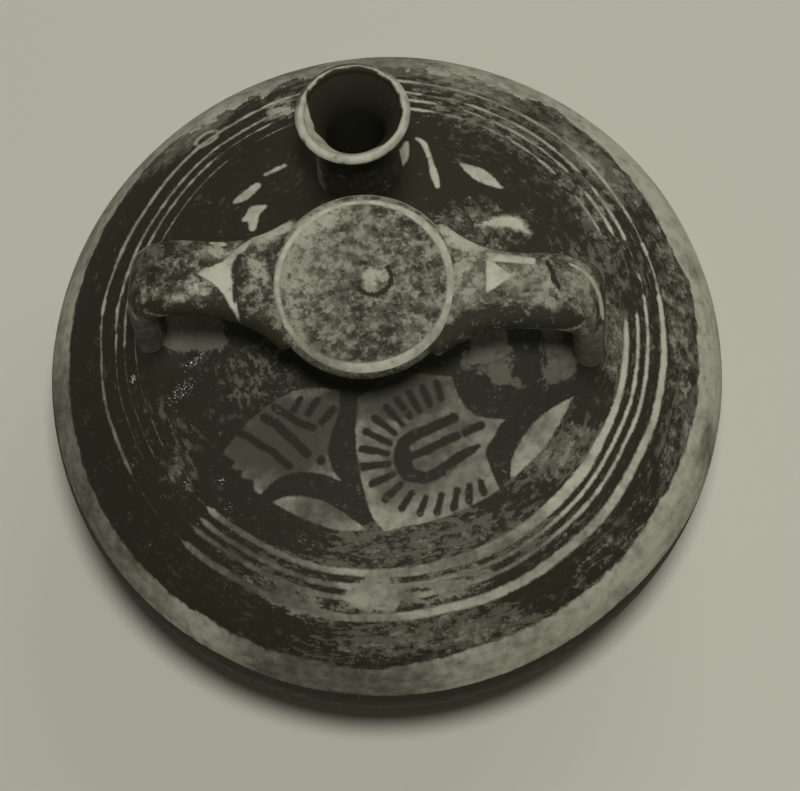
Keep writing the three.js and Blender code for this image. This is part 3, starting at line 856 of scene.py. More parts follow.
def flower_depth(where):
    """How deep points are in the dark slip of the flowers and marks, in parts of the belly's radius."""
    painted = np.full(len(where), SOLID)
    for field in RESERVED_FIELDS:
        corners = [run[:1] for run in field[1:] + field[:1]]
        outline = np.vstack([eased(run + corner)[:-1] for run, corner in zip(field, corners)])
        painted = np.minimum(painted, -depth_in_outline(where, outline))
    petal_ends = (eased(ends, PETALS_PER_POINT) for ends in (PETAL_OUTER_ENDS, PETAL_INNER_ENDS))
    for outer, inner in zip(*petal_ends):
        painted = np.maximum(painted, depth_in_stroke(where, [outer, inner], PETAL_WIDTHS))
    for line, widths in DARK_STROKES:
        painted = np.maximum(painted, brushed(where, line, widths))
    for line, widths in LIGHT_STROKES:
        painted = np.minimum(painted, -brushed(where, line, widths))
    middle, size, turn, width = BLOT_RING
    angle = np.radians(np.linspace(0, 360, BLOT_RING_POINTS))
    c, s = math.cos(math.radians(turn)), math.sin(math.radians(turn))
    u, v = size[0] * np.cos(angle), size[1] * np.sin(angle)
    loop = np.stack([middle[0] + u * c - v * s, middle[1] + u * s + v * c], axis=1)
    return np.minimum(painted, -depth_in_stroke(where, loop, width))


def shoulder_paint(points):
    """Paint at points of the shoulder: depth in the slip in millimetres, thinness, wear, lime, and soiling
    with painted shade.
    """
    plan = points[:, :2] / BELLY_RADIUS - np.array(DESIGN_SHIFT)
    near = (points[:, 2] > DESIGN_FOOT) & (np.hypot(*plan.T) < DESIGN_REACH)
    here = plan[near]
    depth = np.full(len(points), SOLID)
    depth[near] = flower_depth(here)
    thin = most_of(plan, THIN_PATCHES, 0.0)
    for amount, oval in THIN_OVALS:
        inside = depth_in_outline(here, eased(oval + oval[:1])) * BELLY_RADIUS
        thin[near] = np.maximum(thin[near], amount * soft_inside(inside, OVAL_EDGE))
    drip = brushed(here, DRIP, DRIP_WIDTHS) * BELLY_RADIUS
    thin[near] *= 1 - soft_inside(drip, DRIP_EDGE)
    worn = most_of(plan, WORN_PATCHES, SHOULDER_WEAR)
    for loss in LOSSES:
        inside = depth_in_outline(here, eased(loss + loss[:1])) * BELLY_RADIUS
        worn[near] = np.maximum(worn[near], LOSS_WEAR * soft_inside(inside, DRIP_EDGE))
    return {
        "painted": np.clip(depth * BELLY_RADIUS, -DEEP, DEEP), "thin": thin, "worn": worn,
        "limed": most_of(plan, LIME_PATCHES, SHOULDER_LIME), "dirt": most_of(plan, DIRT_AND_SHADE_PATCHES, 0.0),
    }


def even_paint(points):
    """Dark slip all over, a little worn."""
    return {field: np.full(len(points), amount) for field, amount in EVEN_PAINT.items()}


# Materials


def clay_material(name, paint_rule, wheel_marks):
    """Pale clay under dark slip, painted and worn as a rule says, with flecks from the wheel or the hand."""
    material = bpy.data.materials.new(name)
    material.use_nodes = True
    material.node_tree.nodes.clear()
    g = Graph(material.node_tree)
    place = g.scaled(g.node("ShaderNodeTexCoord", out="Object"), 1 / MM)
    x, y, z = g.split(place)
    radius = (x * x + y * y) ** 0.5 + AXIS_GAP
    painted, thin, worn, limed, dirt = paint_rule(g, place, radius)
    grain, blot, cloud = (g.noise(place, *kind) for kind in (GRAIN, BLOT, CLOUD))
    if wheel_marks:
        around, down = WHEEL_STRETCH
        stretched = g.joined(x / radius * around, y / radius * around, (radius - z) * down)
        fleck = g.noise(stretched, *WHEEL_FLECK)
    else:
        stretched = g.joined(*(way * stretch for way, stretch in zip((x, y, z), HAND_STRETCH)))
        fleck = g.noise(stretched, *HAND_FLECK)

    # The slip: where it is, where the brush left it thin, and where it has come off
    in_slip = g.step(painted + (g.uneven(grain, 0.6) + g.uneven(blot, 0.6)), *SLIP_EDGE)
    dashes = g.step(fleck + g.uneven(grain, 0.35), *DASH_EDGE)
    thinned = thin + g.uneven(blot, 1.0) + g.uneven(cloud, 0.6) - dashes * 0.5
    slip_colour = g.blend(g.step(thinned, *THINNING), SLIP_DARK, SLIP_THIN)
    loss = fleck * 0.35 + blot * 0.36 + grain * 0.29
    lost = g.step(loss + worn * 0.36, *LOSS_EDGE)
    slip = in_slip * (1 - lost)

    # The clay: stained, dirty and darkened by painted shade, and under lost slip still a ghost of it
    stained = g.blend(g.step(blot * 0.5 + cloud * 0.5, *STAINING), CLAY, CLAY_STAINED)
    dirtied_and_shaded = g.step(dirt + g.uneven(blot, 0.6) + g.uneven(cloud, 0.4), *DIRTYING)
    grime = g.step(blot * 0.6 + grain * 0.4, *GRIME_EDGE) * 0.7
    clay_colour = g.blend(grime, g.blend(dirtied_and_shaded, stained, CLAY_DIRTY_AND_SHADED), CLAY_DIRTY_AND_SHADED)
    bared = g.step(worn + g.uneven(cloud, 0.9) + g.uneven(blot, 0.8), *BARING)
    bare_colour = g.blend(bared, CLAY_GHOST, clay_colour)

    colour = g.blend(in_slip, clay_colour, g.blend(lost, slip_colour, bare_colour))
    speck = g.step(g.noise(place, *CRUMBS) + limed * 0.2, *SPECK_EDGE)
    colour = g.blend(speck, colour, LIME)
    relief = slip * 0.3 + grain * 0.5 + fleck * 0.12 + speck * 0.4
    bump = g.node("ShaderNodeBump", {
        "Strength": RELIEF_STRENGTH, "Distance": RELIEF_HEIGHT, "Height": relief,
    })
    shader = g.node("ShaderNodeBsdfPrincipled", {
        "Base Color": colour, "Roughness": CLAY_ROUGHNESS - slip * SLIP_SMOOTHER, "Normal": bump,
        "Specular IOR Level": CLAY_SPECULAR,
    })
    g.feed(g.tree.nodes.new("ShaderNodeOutputMaterial").inputs["Surface"], shader)
    return material


# Rules for the paint: each gives the depth in the slip, its thinness and wear, lime, and dirt together with
# painted shade


def kept_rule(g, place, radius):
    """Paint that is kept at the points of a piece."""
    fields = ("painted", "thin", "worn", "limed", "dirt")
    return [g.node("ShaderNodeAttribute", out="Fac", attribute_name=name) for name in fields]


def shoulder_rule(g, place, radius):
    """The kept design, the lines round the shoulder and the bare band above the belly."""
    painted, thin, worn, limed, dirt = kept_rule(g, place, radius)
    x, y, z = g.split(place)
    across, back = x / radius, y / radius
    right, front = g.step(across, *RIGHT_HALF), g.step(back, *FRONT_HALF)
    front_left = front * (1 - right)
    sway = g.noise(place, *SLOW_SWAY) - 0.5
    drift = radius + sway * LINE_SWAY

    def near_azimuth(azimuth, half_angle):
        """1 near an azimuth and 0 further from it than half an angle, over a soft edge."""
        middle, half = math.radians(azimuth), math.radians(half_angle)
        facing = across * math.cos(middle) + back * math.sin(middle)
        return g.step(facing, math.cos(half * (1 + ARC_ENDS)), math.cos(half * (1 - ARC_ENDS)))

    *back_arc, back_wash = BACK_WASH
    *back_right_arc, back_right_wash = BACK_RIGHT_WASH
    at_back = near_azimuth(*back_arc)
    washed = at_back * back_wash + near_azimuth(*back_right_arc) * back_right_wash
    torn = g.uneven(g.noise(place, *TEAR), at_back * BACK_TEAR + BELLY_BAND_TEAR)
    foot = BELLY_BAND_FOOT - g.step(across, *BELLY_BAND_SINKS_AT) * BELLY_BAND_SINKS
    upper_edge = BELLY_BAND + front_left * BELLY_BAND_LEFT - washed + torn - drift
    above = g.largest(upper_edge, foot - (z + sway * BELLY_BAND_SWAY))
    cover = g.smallest(painted, above)

    towards_x, towards_y = OVERPAINTED_TOWARDS
    overpainted = g.step(across * towards_x + back * towards_y, *OVERPAINTED_EDGE)
    gaps = g.noise(place, *LINE_GAPS) + front * FEWER_GAPS_IN_FRONT
    kept = g.step(gaps, *LINE_GAP_EDGE) * (1 - overpainted * OVERPAINTED_TAKES)
    kept = g.largest(kept, *(near_azimuth(*sure) for sure in SURE_LINES))
    towards_right = g.step(across, *NARROWING_EDGE)
    unbroken = 1 - near_azimuth(*LINE_BREAK) * LINE_BREAK_TAKES
    quarters = (front_left, front * right, (1 - front) * right, (1 - front) * (1 - right))
    for line, whole, narrowing, gap, *halves in RESERVED_LINES:
        half = sum(quarter * half for quarter, half in zip(quarters, halves))
        half = half * (1 - towards_right * narrowing)
        share = g.largest(kept * (1 - near_azimuth(*gap)), whole) * unbroken
        cover = g.smallest(cover, abs(drift - line) - half * share + (1 - share) * LINE_ENDS)
    return cover, thin, worn, limed, dirt


def bowl_rule(g, place, radius):
    """Bands round the bowl: the belly's slip, two lines and a band above the foot."""
    level = g.split(place)[2] + g.uneven(g.noise(place, *SLOW_SWAY), BELLY_BAND_SWAY)
    cover = level - BOWL_BELLY_SLIP
    for middle, half_width in BOWL_BANDS:
        cover = g.largest(cover, half_width - abs(level - middle))
    fading = g.noise(place, *BOWL_FADING)
    thin, worn, limed, dirt = BOWL_PAINT
    return cover, fading * thin, fading * worn, limed, dirt


def bare_rule(g, place, radius):
    """Clay that was never painted, with a little slip spilt on it."""
    spilt = g.noise(place, *SPILT_SLIP)
    thin, worn, limed, dirt = BARE_PAINT
    return (spilt - SPILT_FROM) * SPILT_DEPTH, thin, spilt * worn, limed, dirt


shoulder_clay = clay_material("painted shoulder clay", shoulder_rule, True)
bowl_clay = clay_material("banded bowl clay", bowl_rule, True)
fitting_clay = clay_material("painted fitting clay", kept_rule, False)
bare_clay = clay_material("bare clay", bare_rule, True)

THROWN_WALL = thrown_wall_tree()
TURNED_PIECE = turned_tree()
PIERCED_WALL = pierced_wall_tree()


# Pieces


def turned(name, outline, material, sides, place=(0, 0, 0), lean=0.0, wobble=0.0):
    """A piece turned from its outline: distances from the axis and heights."""
    mesh = bpy.data.meshes.new(name)
    mesh.from_pydata([(r, 0, z) for r, z in outline], [], [])
    thing = object_with(name, mesh)
    grow(thing, TURNED_PIECE, {
        "Points": len(outline), "Sides": sides, "Wobble": wobble, "Place": place, "Lean": lean,
        "Material": material,
    })
    return thing


def thrown(name, rise, power, upwards, material, columns, outer_rows, inner_rows, front_density):
    """Half of the body, thrown from the belly upwards or downwards."""
    thing = object_with(name, bpy.data.meshes.new(name))
    grow(thing, THROWN_WALL, {
        "Radius": float(BELLY_RADIUS), "Rise": float(rise), "Power": power, "Wall": WALL,
        "Rim height": float(BELLY_HEIGHT), "Upwards": upwards, "Columns": columns, "Outer rows": outer_rows,
        "Inner rows": inner_rows, "Front density": front_density, "Wobble": BODY_WOBBLE,
        "Ridge": THROWING_RIDGE, "Material": material,
    })
    return thing


spout_seat = (0, SPOUT_Y, float(shoulder_height(0, SPOUT_Y)))

shoulder = thrown("thrown_shoulder", SHOULDER_RISE, SHOULDER_POWER, 1.0, shoulder_clay, **SHOULDER_MESH)
grow(shoulder, PIERCED_WALL, {
    "Hole radius": POURING_HOLE, "Depth": DRILL_LENGTH, "Place": spout_seat, "Lean": -SPOUT_LEAN,
    "Material": shoulder_clay,
})
paint(shoulder, shoulder_paint)

bowl = thrown("thrown_bowl", BOWL_DROP, BOWL_POWER, -1.0, bowl_clay, **BOWL_MESH)

foot_inner = FOOT_RADIUS - FOOT_WIDTH
foot_outline = np.vstack([
    arc((FOOT_RADIUS - FOOT_ROUND, FOOT_ROUND), FOOT_ROUND, -90, 0, FOOT_STEPS),
    [(r, bowl_underside(r)) for r in np.linspace(FOOT_RADIUS - FOOT_TAPER, foot_inner, FOOT_STEPS)],
    arc((foot_inner + FOOT_ROUND, FOOT_ROUND), FOOT_ROUND, 180, 270, FOOT_STEPS),
    [(FOOT_RADIUS - FOOT_ROUND, 0)],
])
foot = turned("turned_foot_ring", foot_outline, bare_clay, sides=160)

neck_end = NECK_FOOT - NECK_SUNK
waist_height = (NECK_FOOT + NECK_TOP) / 2
waist = (NECK_WAIST, waist_height)
neck_outline = np.vstack([
    [(NECK_BORE, neck_end), (NECK_RADIUS, neck_end)],
    bezier((NECK_RADIUS, NECK_FOOT), (NECK_WAIST, (NECK_FOOT + waist_height) / 2), waist, steps=12),
    bezier(waist, (NECK_WAIST, (waist_height + NECK_TOP) / 2), (NECK_FLARE, NECK_TOP), steps=16)[1:],
    [(NECK_BORE, NECK_TOP), (NECK_BORE, neck_end)],
])
neck = turned("neck_stem", neck_outline, fitting_clay, sides=120, place=(NECK_X, 0, 0))
paint(neck, even_paint)

disc_round = DISC_EDGE / 2
disc_outline = np.vstack([
    [(0, PLUG_END), (PLUG_RADIUS, PLUG_END), (PLUG_RADIUS, DISC_TOP - DISC_EDGE)],
    arc((DISC_RADIUS - disc_round, DISC_TOP - disc_round), disc_round, -90, 90, steps=26),
    straight((DISC_RADIUS - disc_round, DISC_TOP), (0, DISC_TOP + DISC_CROWN), steps=54)[1:],
])
disc = turned(
    "neck_top_disc", disc_outline, fitting_clay, sides=220, place=(NECK_X, 0, 0), wobble=DISC_WOBBLE,
)


def disc_paint(points):
    """A reserved ring near the disc's edge, a small eye near its middle, and worn slip between."""
    local = points[:, :2] - np.array([NECK_X, 0])
    face = points[:, 2] > DISC_TOP - DISC_FACE_DEPTH
    rim = np.hypot(*local.T) > DISC_RING + DISC_RING_TO_RIM
    ring_at = local - np.array(DISC_RING_MIDDLE)
    azimuth = np.arctan2(ring_at[:, 1], ring_at[:, 0])
    ring_half = DISC_RING_HALF + waves(azimuth, DISC_RING_WAVES)
    from_eye = np.hypot(*(local - np.array(DISC_EYE)).T)
    below = local[:, 1] - LASH_SLOPE * local[:, 0] < LASH_BELOW
    lash = (np.abs(from_eye - LASH_RADIUS) < LASH_HALF) & below
    thin, worn, dirt = (sum_of(local, *DISC_FACE[field]) for field in ("thin", "worn", "dirt"))
    rim_wear = DISC_RIM["worn"] + DISC_RIM_WEARS_BACKWARDS * local[:, 1]
    return {
        "painted": np.where(face, np.abs(np.hypot(*ring_at.T) - DISC_RING) - ring_half, DISC_SLIP),
        "thin": np.where(rim, DISC_RIM["thin"], np.where(lash, LASH["thin"], thin)),
        "worn": np.where(rim, rim_wear, np.where(lash, LASH["worn"], worn)),
        "limed": np.full(len(points), DISC_LIME),
        "dirt": np.where(rim, DISC_RIM["dirt"], dirt),
    }


paint(disc, disc_paint)

spout_waist = (SPOUT_WAIST, SPOUT_LENGTH / 2)
lip_round = SPOUT_LIP / 2
lip_crest = SPOUT_MOUTH - lip_round
lip_height = SPOUT_LENGTH - lip_round
throat = SPOUT_LENGTH - SPOUT_FUNNEL
funnel = [
    (SPOUT_MOUTH - SPOUT_LIP, lip_height), (SPOUT_BORE, (throat + SPOUT_LENGTH) / 2), (SPOUT_BORE, throat),
]
spout_outline = np.vstack([
    [(SPOUT_BORE, -COIL), (SPOUT_FOOT, -COIL), (SPOUT_FOOT, 0)],
    straight((SPOUT_FOOT, 0), spout_waist, steps=22)[1:],
    bezier(
        spout_waist, (SPOUT_WAIST, (spout_waist[1] + lip_height) / 2), (SPOUT_MOUTH, lip_height), steps=26,
    )[1:],
    arc((lip_crest, lip_height), lip_round, 0, 180, steps=16)[1:],
    bezier(*funnel, steps=22)[1:],
    straight((SPOUT_BORE, throat), (SPOUT_BORE, -COIL), steps=12)[1:],
])
spout = turned(
    "pouring_spout", spout_outline, fitting_clay, sides=180, place=spout_seat, lean=-SPOUT_LEAN,
    wobble=SPOUT_WOBBLE,
)


def spout_paint(points):
    """A bare lip whose clay runs down inside on the near left, partly as painted light on the lit inner wall,
    and dark slip elsewhere.
    """
    turn = np.array(Matrix.Rotation(SPOUT_LEAN, 3, "X"))
    local = (points - np.array(spout_seat)) @ turn.T
    radius, height = np.hypot(local[:, 0], local[:, 1]), local[:, 2]
    azimuth = np.arctan2(local[:, 1], local[:, 0])
    throat_wall = (SPOUT_BORE + SPOUT_WAIST) / 2
    inner = radius < mixed(throat_wall, lip_crest, ramp(height, throat, lip_height) ** 2)
    near_left = np.clip(np.cos(azimuth - math.radians(LIP_RUN_AZIMUTH)), 0, 1) ** 1.5
    far = np.clip(np.sin(azimuth), 0, 1) ** 2
    right = np.cos(azimuth)
    under_lip = np.clip(lip_height - height, 0, None)
    inward = np.clip(lip_crest - radius, 0, lip_round) + under_lip
    outward = np.clip(radius - lip_crest, 0, lip_round) + under_lip
    jag, nick = waves(azimuth, LIP_JAGS), waves(azimuth, LIP_NICKS)
    # The bare clay is narrower on the far side, and outside wider at the right, where it is also cleaner
    inner_edge = inward - LIP_INSIDE - LIP_RUN * near_left - jag * (0.3 + near_left) + 0.5 * far
    outer_edge = outward - LIP_OUTSIDE - 0.5 * right + nick + 0.6 * far
    crust = soft_patch(local[:, :2], *SPOUT_CRUST)
    lip = height > lip_height - LIP_DEPTH
    # Dirt on the lip, with painted light: cleanest on the near left, where the inner wall is painted as lit
    lip_dirt_and_light = LIP_DIRT - 0.9 * near_left - 0.4 * np.clip(right, 0, 1) + 0.2 * far + 0.3 * nick
    outside = {field: ground + CRUST_ADDS[field] * crust for field, ground in SPOUT_OUTSIDE.items()}
    outside["dirt"] = np.where(lip, lip_dirt_and_light, outside["dirt"])
    paint_at = {field: np.where(inner, SPOUT_INSIDE[field], outside[field]) for field in SPOUT_INSIDE}
    return {"painted": np.where(inner, inner_edge, outer_edge), **paint_at}


paint(spout, spout_paint)


# Straps and wiped coils

strap_middle = DISC_TOP - STRAP_DROP - STRAP_THICKNESS / 2
leg_middle = STRAP_REACH - STRAP_THICKNESS / 2


def strap_section(half_thickness, half_width, sides):
    """Points round a strap's section, x through its thickness and y across it, and directions outwards."""
    angle = np.linspace(0, 2 * math.pi, sides, endpoint=False)
    halves = np.array([half_thickness, half_width])
    turn = np.stack([np.cos(angle), np.sin(angle)], axis=1)
    at = halves * np.sign(turn) * np.abs(turn) ** STRAP_ROUNDNESS
    out = np.sign(turn) * np.abs(turn) ** (2 - STRAP_ROUNDNESS) / halves
    return at, out / np.linalg.norm(out, axis=1)[:, None]


def half_strap(distance):
    """Half a strap's width at a distance from the neck: spread in arcs, and rounded off under the disc."""
    half = STRAP_WIDTH / 2
    wrap = DISC_RADIUS + STRAP_WRAP
    arc_distance = wrap + STRAP_FILLET
    arc_start = math.sqrt(arc_distance ** 2 - (half + STRAP_FILLET) ** 2)
    arc_end = arc_start * wrap / arc_distance
    in_arc = arc_start - np.clip(distance, arc_end, arc_start)
    spread = half + STRAP_FILLET - np.sqrt(STRAP_FILLET ** 2 - in_arc ** 2)
    widest = half + STRAP_FILLET - math.sqrt(STRAP_FILLET ** 2 - (arc_start - arc_end) ** 2)
    tucked = widest + STRAP_TUCK * (distance - arc_end)
    share = np.clip(0.5 + (tucked - spread) / (2 * STRAP_ROUNDING), 0, 1)
    return mixed(tucked, spread, share) - STRAP_ROUNDING * share * (1 - share)


def even_steps(line, count):
    """A line's points moved to even steps along it."""
    way = np.concatenate([[0], np.cumsum(np.linalg.norm(np.diff(line, axis=0), axis=1))])
    wanted = np.linspace(0, way[-1], count)
    return np.stack([np.interp(wanted, way, line[:, i]) for i in range(line.shape[1])], axis=1)


def turned_round_neck(points, azimuth):
    """Points of a strap's own frame, set at its azimuth round the neck."""
    angle = math.radians(azimuth)
    c, s = math.cos(angle), math.sin(angle)
    x, y, z = points[..., 0], points[..., 1], points[..., 2]
    return np.stack([NECK_X + x * c - y * s, x * s + y * c, z], axis=-1)


def strap_rings(leg_end):
    """Sections along a strap, from under the disc out, round the bend and down to the shoulder."""
    bend = (leg_middle - STRAP_BEND, strap_middle - STRAP_BEND)
    line = even_steps(np.vstack([
        straight((DISC_RADIUS - STRAP_THICKNESS, strap_middle), (bend[0], strap_middle), steps=40),
        arc(bend, STRAP_BEND, 90, 0, steps=60)[1:],
        straight((leg_middle, bend[1]), (leg_middle, leg_end), steps=10)[1:],
    ]), STRAP_RINGS)
    along = np.gradient(line, axis=0)
    along /= np.linalg.norm(along, axis=1)[:, None]
    rings = []
    for (mx, mz), (tx, tz) in zip(line, along):
        at, _ = strap_section(STRAP_THICKNESS / 2, half_strap(mx), STRAP_SIDES)
        rings.append(np.stack([mx - tz * at[:, 0], -at[:, 1], mz + tx * at[:, 0]], axis=1))
    return np.array(rings)


def wiped_coil(name, stem, out, place_of):
    """A concave fillet round a stem that ends on the shoulder, closed under its surface."""
    toe = COIL + COIL_TOE
    section = np.vstack([
        bezier((-COIL_LAP, COIL + COIL_EDGE), COIL_HOLLOW, (toe, 0.0), steps=14),
        [(toe, -COIL_SUNK), (-COIL_EDGE, -COIL_SUNK)],
    ])
    rings = [np.column_stack([at + section[:, :1] * away, section[:, 1]]) for at, away in zip(stem, out)]
    coil = lofted(name, place_of(np.array(rings)), shoulder_clay, joined=True)
    paint(coil, shoulder_paint)
    return coil


def on_shoulder(points):
    """Points whose height was measured from the shoulder, set on it."""
    points = points.copy()
    points[..., 2] += shoulder_height(points[..., 0], points[..., 1])
    return points


def round_stem(radius):
    """Points round a stem, and directions outwards."""
    angle = np.linspace(0, 2 * math.pi, COIL_SIDES, endpoint=False)
    out = np.stack([np.cos(angle), np.sin(angle)], axis=1)
    return radius * out, out


# Paint on the straps, with heights from the strap's middle
STRAP_SLIP = 3.0
STRAP_LIME = 0.05
STRAP_DIRT = 0.10
STRAP_UNDERSIDE = {"thin": 0.15, "worn": 0.24}
STRAP_TOP_FROM = -0.5
STRAP_LINES_FROM = -10
STRAP_UPPER_SIDE = (-5.0, -0.5)
LEG_BELOW = (2.0, 6.0)
LEG_FRONT = (3.5, 6.0)  # distances across the strap
SHADE_EDGE = 1.5
SHADE_THICKENS = 0.8
SHADE_SAVES = 0.55
CRACK_EDGE = 0.15
CRACK_THIN = -0.5

# Marks on each strap in its own frame, x out from the neck and y across: light fields and lines, dark cracks
# and shaded edges, patches of pale and of worn slip, and thinness and wear elsewhere. For the leg's front,
# painted lighter as painted light where it faces away from the lamps: depth in the slip, its thinness and
# wear, and dirt
STRAP_MARKS = {
    "left": {
        "fields": [
            [(21.6, -8.6), (23.6, -7.2), (25.2, -5.6), (26.4, -4.0), (27.8, -2.6), (29.8, -1.5), (33.2, -0.5),
             (30.4, 1.0), (28.2, 2.4), (26.8, 3.9), (25.6, 5.8), (23.6, 8.4), (24.3, 5.6), (24.9, 3.2),
             (25.4, 0.8), (25.2, -1.7), (24.5, -3.7), (23.4, -5.7)],
            [(30.7, -6.8), (29.7, -8.3), (28.2, -7.6), (27.2, -6.5), (29.0, -5.9)],
        ],
        "lines": [([(42.5, -6.9), (45.6, -5.2), (46.8, -1.0), (46.8, 4.0), (46.4, 7.0)], 0.35)],
        "cracks": [([(24.4, -4.2), (25.2, -2.2), (25.4, -0.2)], 0.9), ([(25.0, 1.7), (24.7, 5.1)], 0.8)],
        "shaded": [([(15.0, 13.0), (19.0, 10.4), (25.0, 7.6), (34.0, 7.2), (44.0, 7.0)], 2.4)],
        "pale": [((43.0, -4.0), (5.0, 4.0), 0, 0.6)],
        "worn": [
            ((21.0, 0.0), (4.0, 10.0), 0, 0.48), ((18.5, -10.0), (6.0, 3.0), 25, 0.66),
            ((31.5, 2.8), (5.0, 2.6), 0, 0.60), ((36.5, 5.5), (5.0, 2.0), 0, 0.50),
            ((36.0, -2.0), (6.0, 2.5), 0, 0.46), ((29.0, -5.0), (4.0, 2.5), 0, 0.55),
            ((43.0, 3.0), (3.0, 4.0), 0, 0.44),
        ],
        "thin": 0.25, "wear": 0.32,
        "leg": (-1.0, 0.9, 0.10, 0.84),
    },
    "right": {
        "fields": [
            [(23.7, 5.6), (28.8, 1.9), (23.8, -1.7)],
            [(23.6, 6.9), (28.7, 6.4), (33.1, 5.7), (33.1, 4.4), (28.8, 4.8), (24.4, 5.0)],
        ],
        "lines": [
            ([(39.9, 5.1), (42.8, 3.9), (44.8, 2.1), (46.1, -1.1), (46.6, -6.7)], [0.3, 0.7, 0.8, 0.8, 0.5]),
        ],
        "cracks": [([(35.5, 5.1), (36.3, 3.5), (36.8, 1.5), (37.6, 0.0)], 0.35)],
        "shaded": [([(15.0, -13.0), (18.0, -9.6), (25.1, -6.2), (32.4, -6.6), (42.0, -6.8)], 4.2)],
        "pale": [
            ((32.0, 1.8), (9.0, 5.2), 0, 1.0), ((42.0, 1.0), (5.0, 5.0), 0, 0.85),
            ((20.0, 0.0), (5.0, 9.0), 0, 0.70),
        ],
        "worn": [
            ((20.0, 3.0), (5.0, 9.0), 0, 0.50), ((30.0, 1.0), (6.0, 3.5), 0, 0.50),
            ((37.0, 0.0), (5.0, 4.0), 0, 0.48), ((19.0, 10.0), (7.0, 3.5), -25, 0.75),
            ((44.0, 0.0), (4.0, 7.0), 0, 0.42),
        ],
        "thin": 0.50, "wear": 0.40,
        "leg": (3.0, 0.8, 0.46, 0.90),
    },
}


def strap_paint(points, azimuth, marks):
    """Marks on the upper side of a strap, dark slip elsewhere, and paint on the front of the leg that
    lightens it as painted light.
    """
    angle = math.radians(azimuth)
    c, s = math.cos(angle), math.sin(angle)
    x, y, height = points[:, 0] - NECK_X, points[:, 1], points[:, 2] - strap_middle
    where = np.stack([x * c + y * s, y * c - x * s], axis=1)
    top, high = height > STRAP_TOP_FROM, height > STRAP_LINES_FROM
    upper = ramp(height, *STRAP_UPPER_SIDE)
    leg = ramp(-height, *LEG_BELOW) * ramp(-np.sign(c) * where[:, 1], *LEG_FRONT)
    depth = np.full(len(points), STRAP_SLIP)
    for field in marks["fields"]:
        depth = np.where(top, np.minimum(depth, -depth_in_outline(where, np.array(field))), depth)
    for line, width in marks["lines"]:
        depth = np.where(high, np.minimum(depth, -brushed(where, line, width)), depth)
    thin = mixed(STRAP_UNDERSIDE["thin"], most_of(where, marks["pale"], marks["thin"]), upper)
    worn = mixed(STRAP_UNDERSIDE["worn"], most_of(where, marks["worn"], marks["wear"]), upper)
    for line, width in marks["shaded"]:
        share = np.where(top, soft_inside(brushed(where, line, width), SHADE_EDGE), 0)
        thin = thin - SHADE_THICKENS * share
        worn = worn * (1 - SHADE_SAVES * share)
    for line, width in marks["cracks"]:
        crack = brushed(where, line, width)
        thin = np.where(top & (crack > -CRACK_EDGE), CRACK_THIN, thin)
        worn = np.where(top & (crack > -CRACK_EDGE), 0.0, worn)
        depth = np.where(top, np.maximum(depth, crack), depth)
    # Painted light on the leg's front: bare clay on the left strap, thin worn slip on the right, lighter than
    # the slip around it
    leg_lit_depth, leg_lit_thin, leg_lit_worn, leg_lit_dirt = marks["leg"]
    return {
        "painted": mixed(depth, leg_lit_depth, leg), "thin": mixed(thin, leg_lit_thin, leg),
        "worn": mixed(worn, leg_lit_worn, leg), "limed": np.full(len(points), STRAP_LIME),
        "dirt": mixed(STRAP_DIRT, leg_lit_dirt, leg),
    }


straps, strap_coils = {}, {}
for side, azimuth in STRAP_AZIMUTHS.items():
    foot_at = turned_round_neck(np.array([leg_middle, 0, 0]), azimuth)
    leg_end = float(shoulder_height(foot_at[0], foot_at[1])) - WALL
    rings = turned_round_neck(strap_rings(leg_end), azimuth)
    straps[side] = lofted("strap_" + side, rings, fitting_clay)
    paint(straps[side], strap_paint, azimuth, STRAP_MARKS[side])
    stem, out = strap_section(STRAP_THICKNESS / 2, STRAP_WIDTH / 2, COIL_SIDES)
    stem = stem + np.array([leg_middle, 0])
    strap_coils[side] = wiped_coil(
        "strap_foot_" + side, stem, out, lambda p, a=azimuth: on_shoulder(turned_round_neck(p, a)),
    )

stem, out = round_stem(NECK_RADIUS)
neck_coil = wiped_coil("neck_foot", stem, out, lambda p: on_shoulder(p + np.array([NECK_X, 0, 0])))
stem, out = round_stem(SPOUT_FOOT)
lean_back = math.tan(SPOUT_LEAN)
spout_coil = wiped_coil("spout_foot", stem, out, lambda p: on_shoulder(
    p + np.stack([0 * p[..., 2], SPOUT_Y + p[..., 2] * lean_back, 0 * p[..., 2]], axis=-1),
))

seam_coil = frame["nodes"]["belly_luting_coil"]
seam_coil.data.materials.clear()
seam_coil.data.materials.append(bare_clay)

PIECES = [
    (shoulder, "painted_clay", "shoulder"),
    (bowl, "painted_clay", "bowl"),
    (foot, "bare_clay", "foot_ring"),
    (neck, "painted_clay", "false_neck"),
    (disc, "painted_clay", "neck_disc"),
    (neck_coil, "painted_clay", "neck_luting_coil"),
    (straps["left"], "painted_clay", "handle_left"),
    (strap_coils["left"], "painted_clay", "handle_left_luting_coil"),
    (straps["right"], "painted_clay", "handle_right"),
    (strap_coils["right"], "painted_clay", "handle_right_luting_coil"),
    (spout, "painted_clay", "spout"),
    (spout_coil, "painted_clay", "spout_luting_coil"),
]
for piece, slot, node in PIECES:
    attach(piece, "root")
    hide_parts(node)


# The studio: floor, light and camera

FLOOR_COLOUR = (0.480, 0.480, 0.395, 1)
FLOOR_ROUGHNESS = 0.9
FLOOR_REACH = 4.0
BACKDROP_COLOUR = (0.45, 0.447, 0.37, 1)
ROOM_LIGHT = (1, 1, 0.97, 1)
ROOM_STRENGTH = 0.045
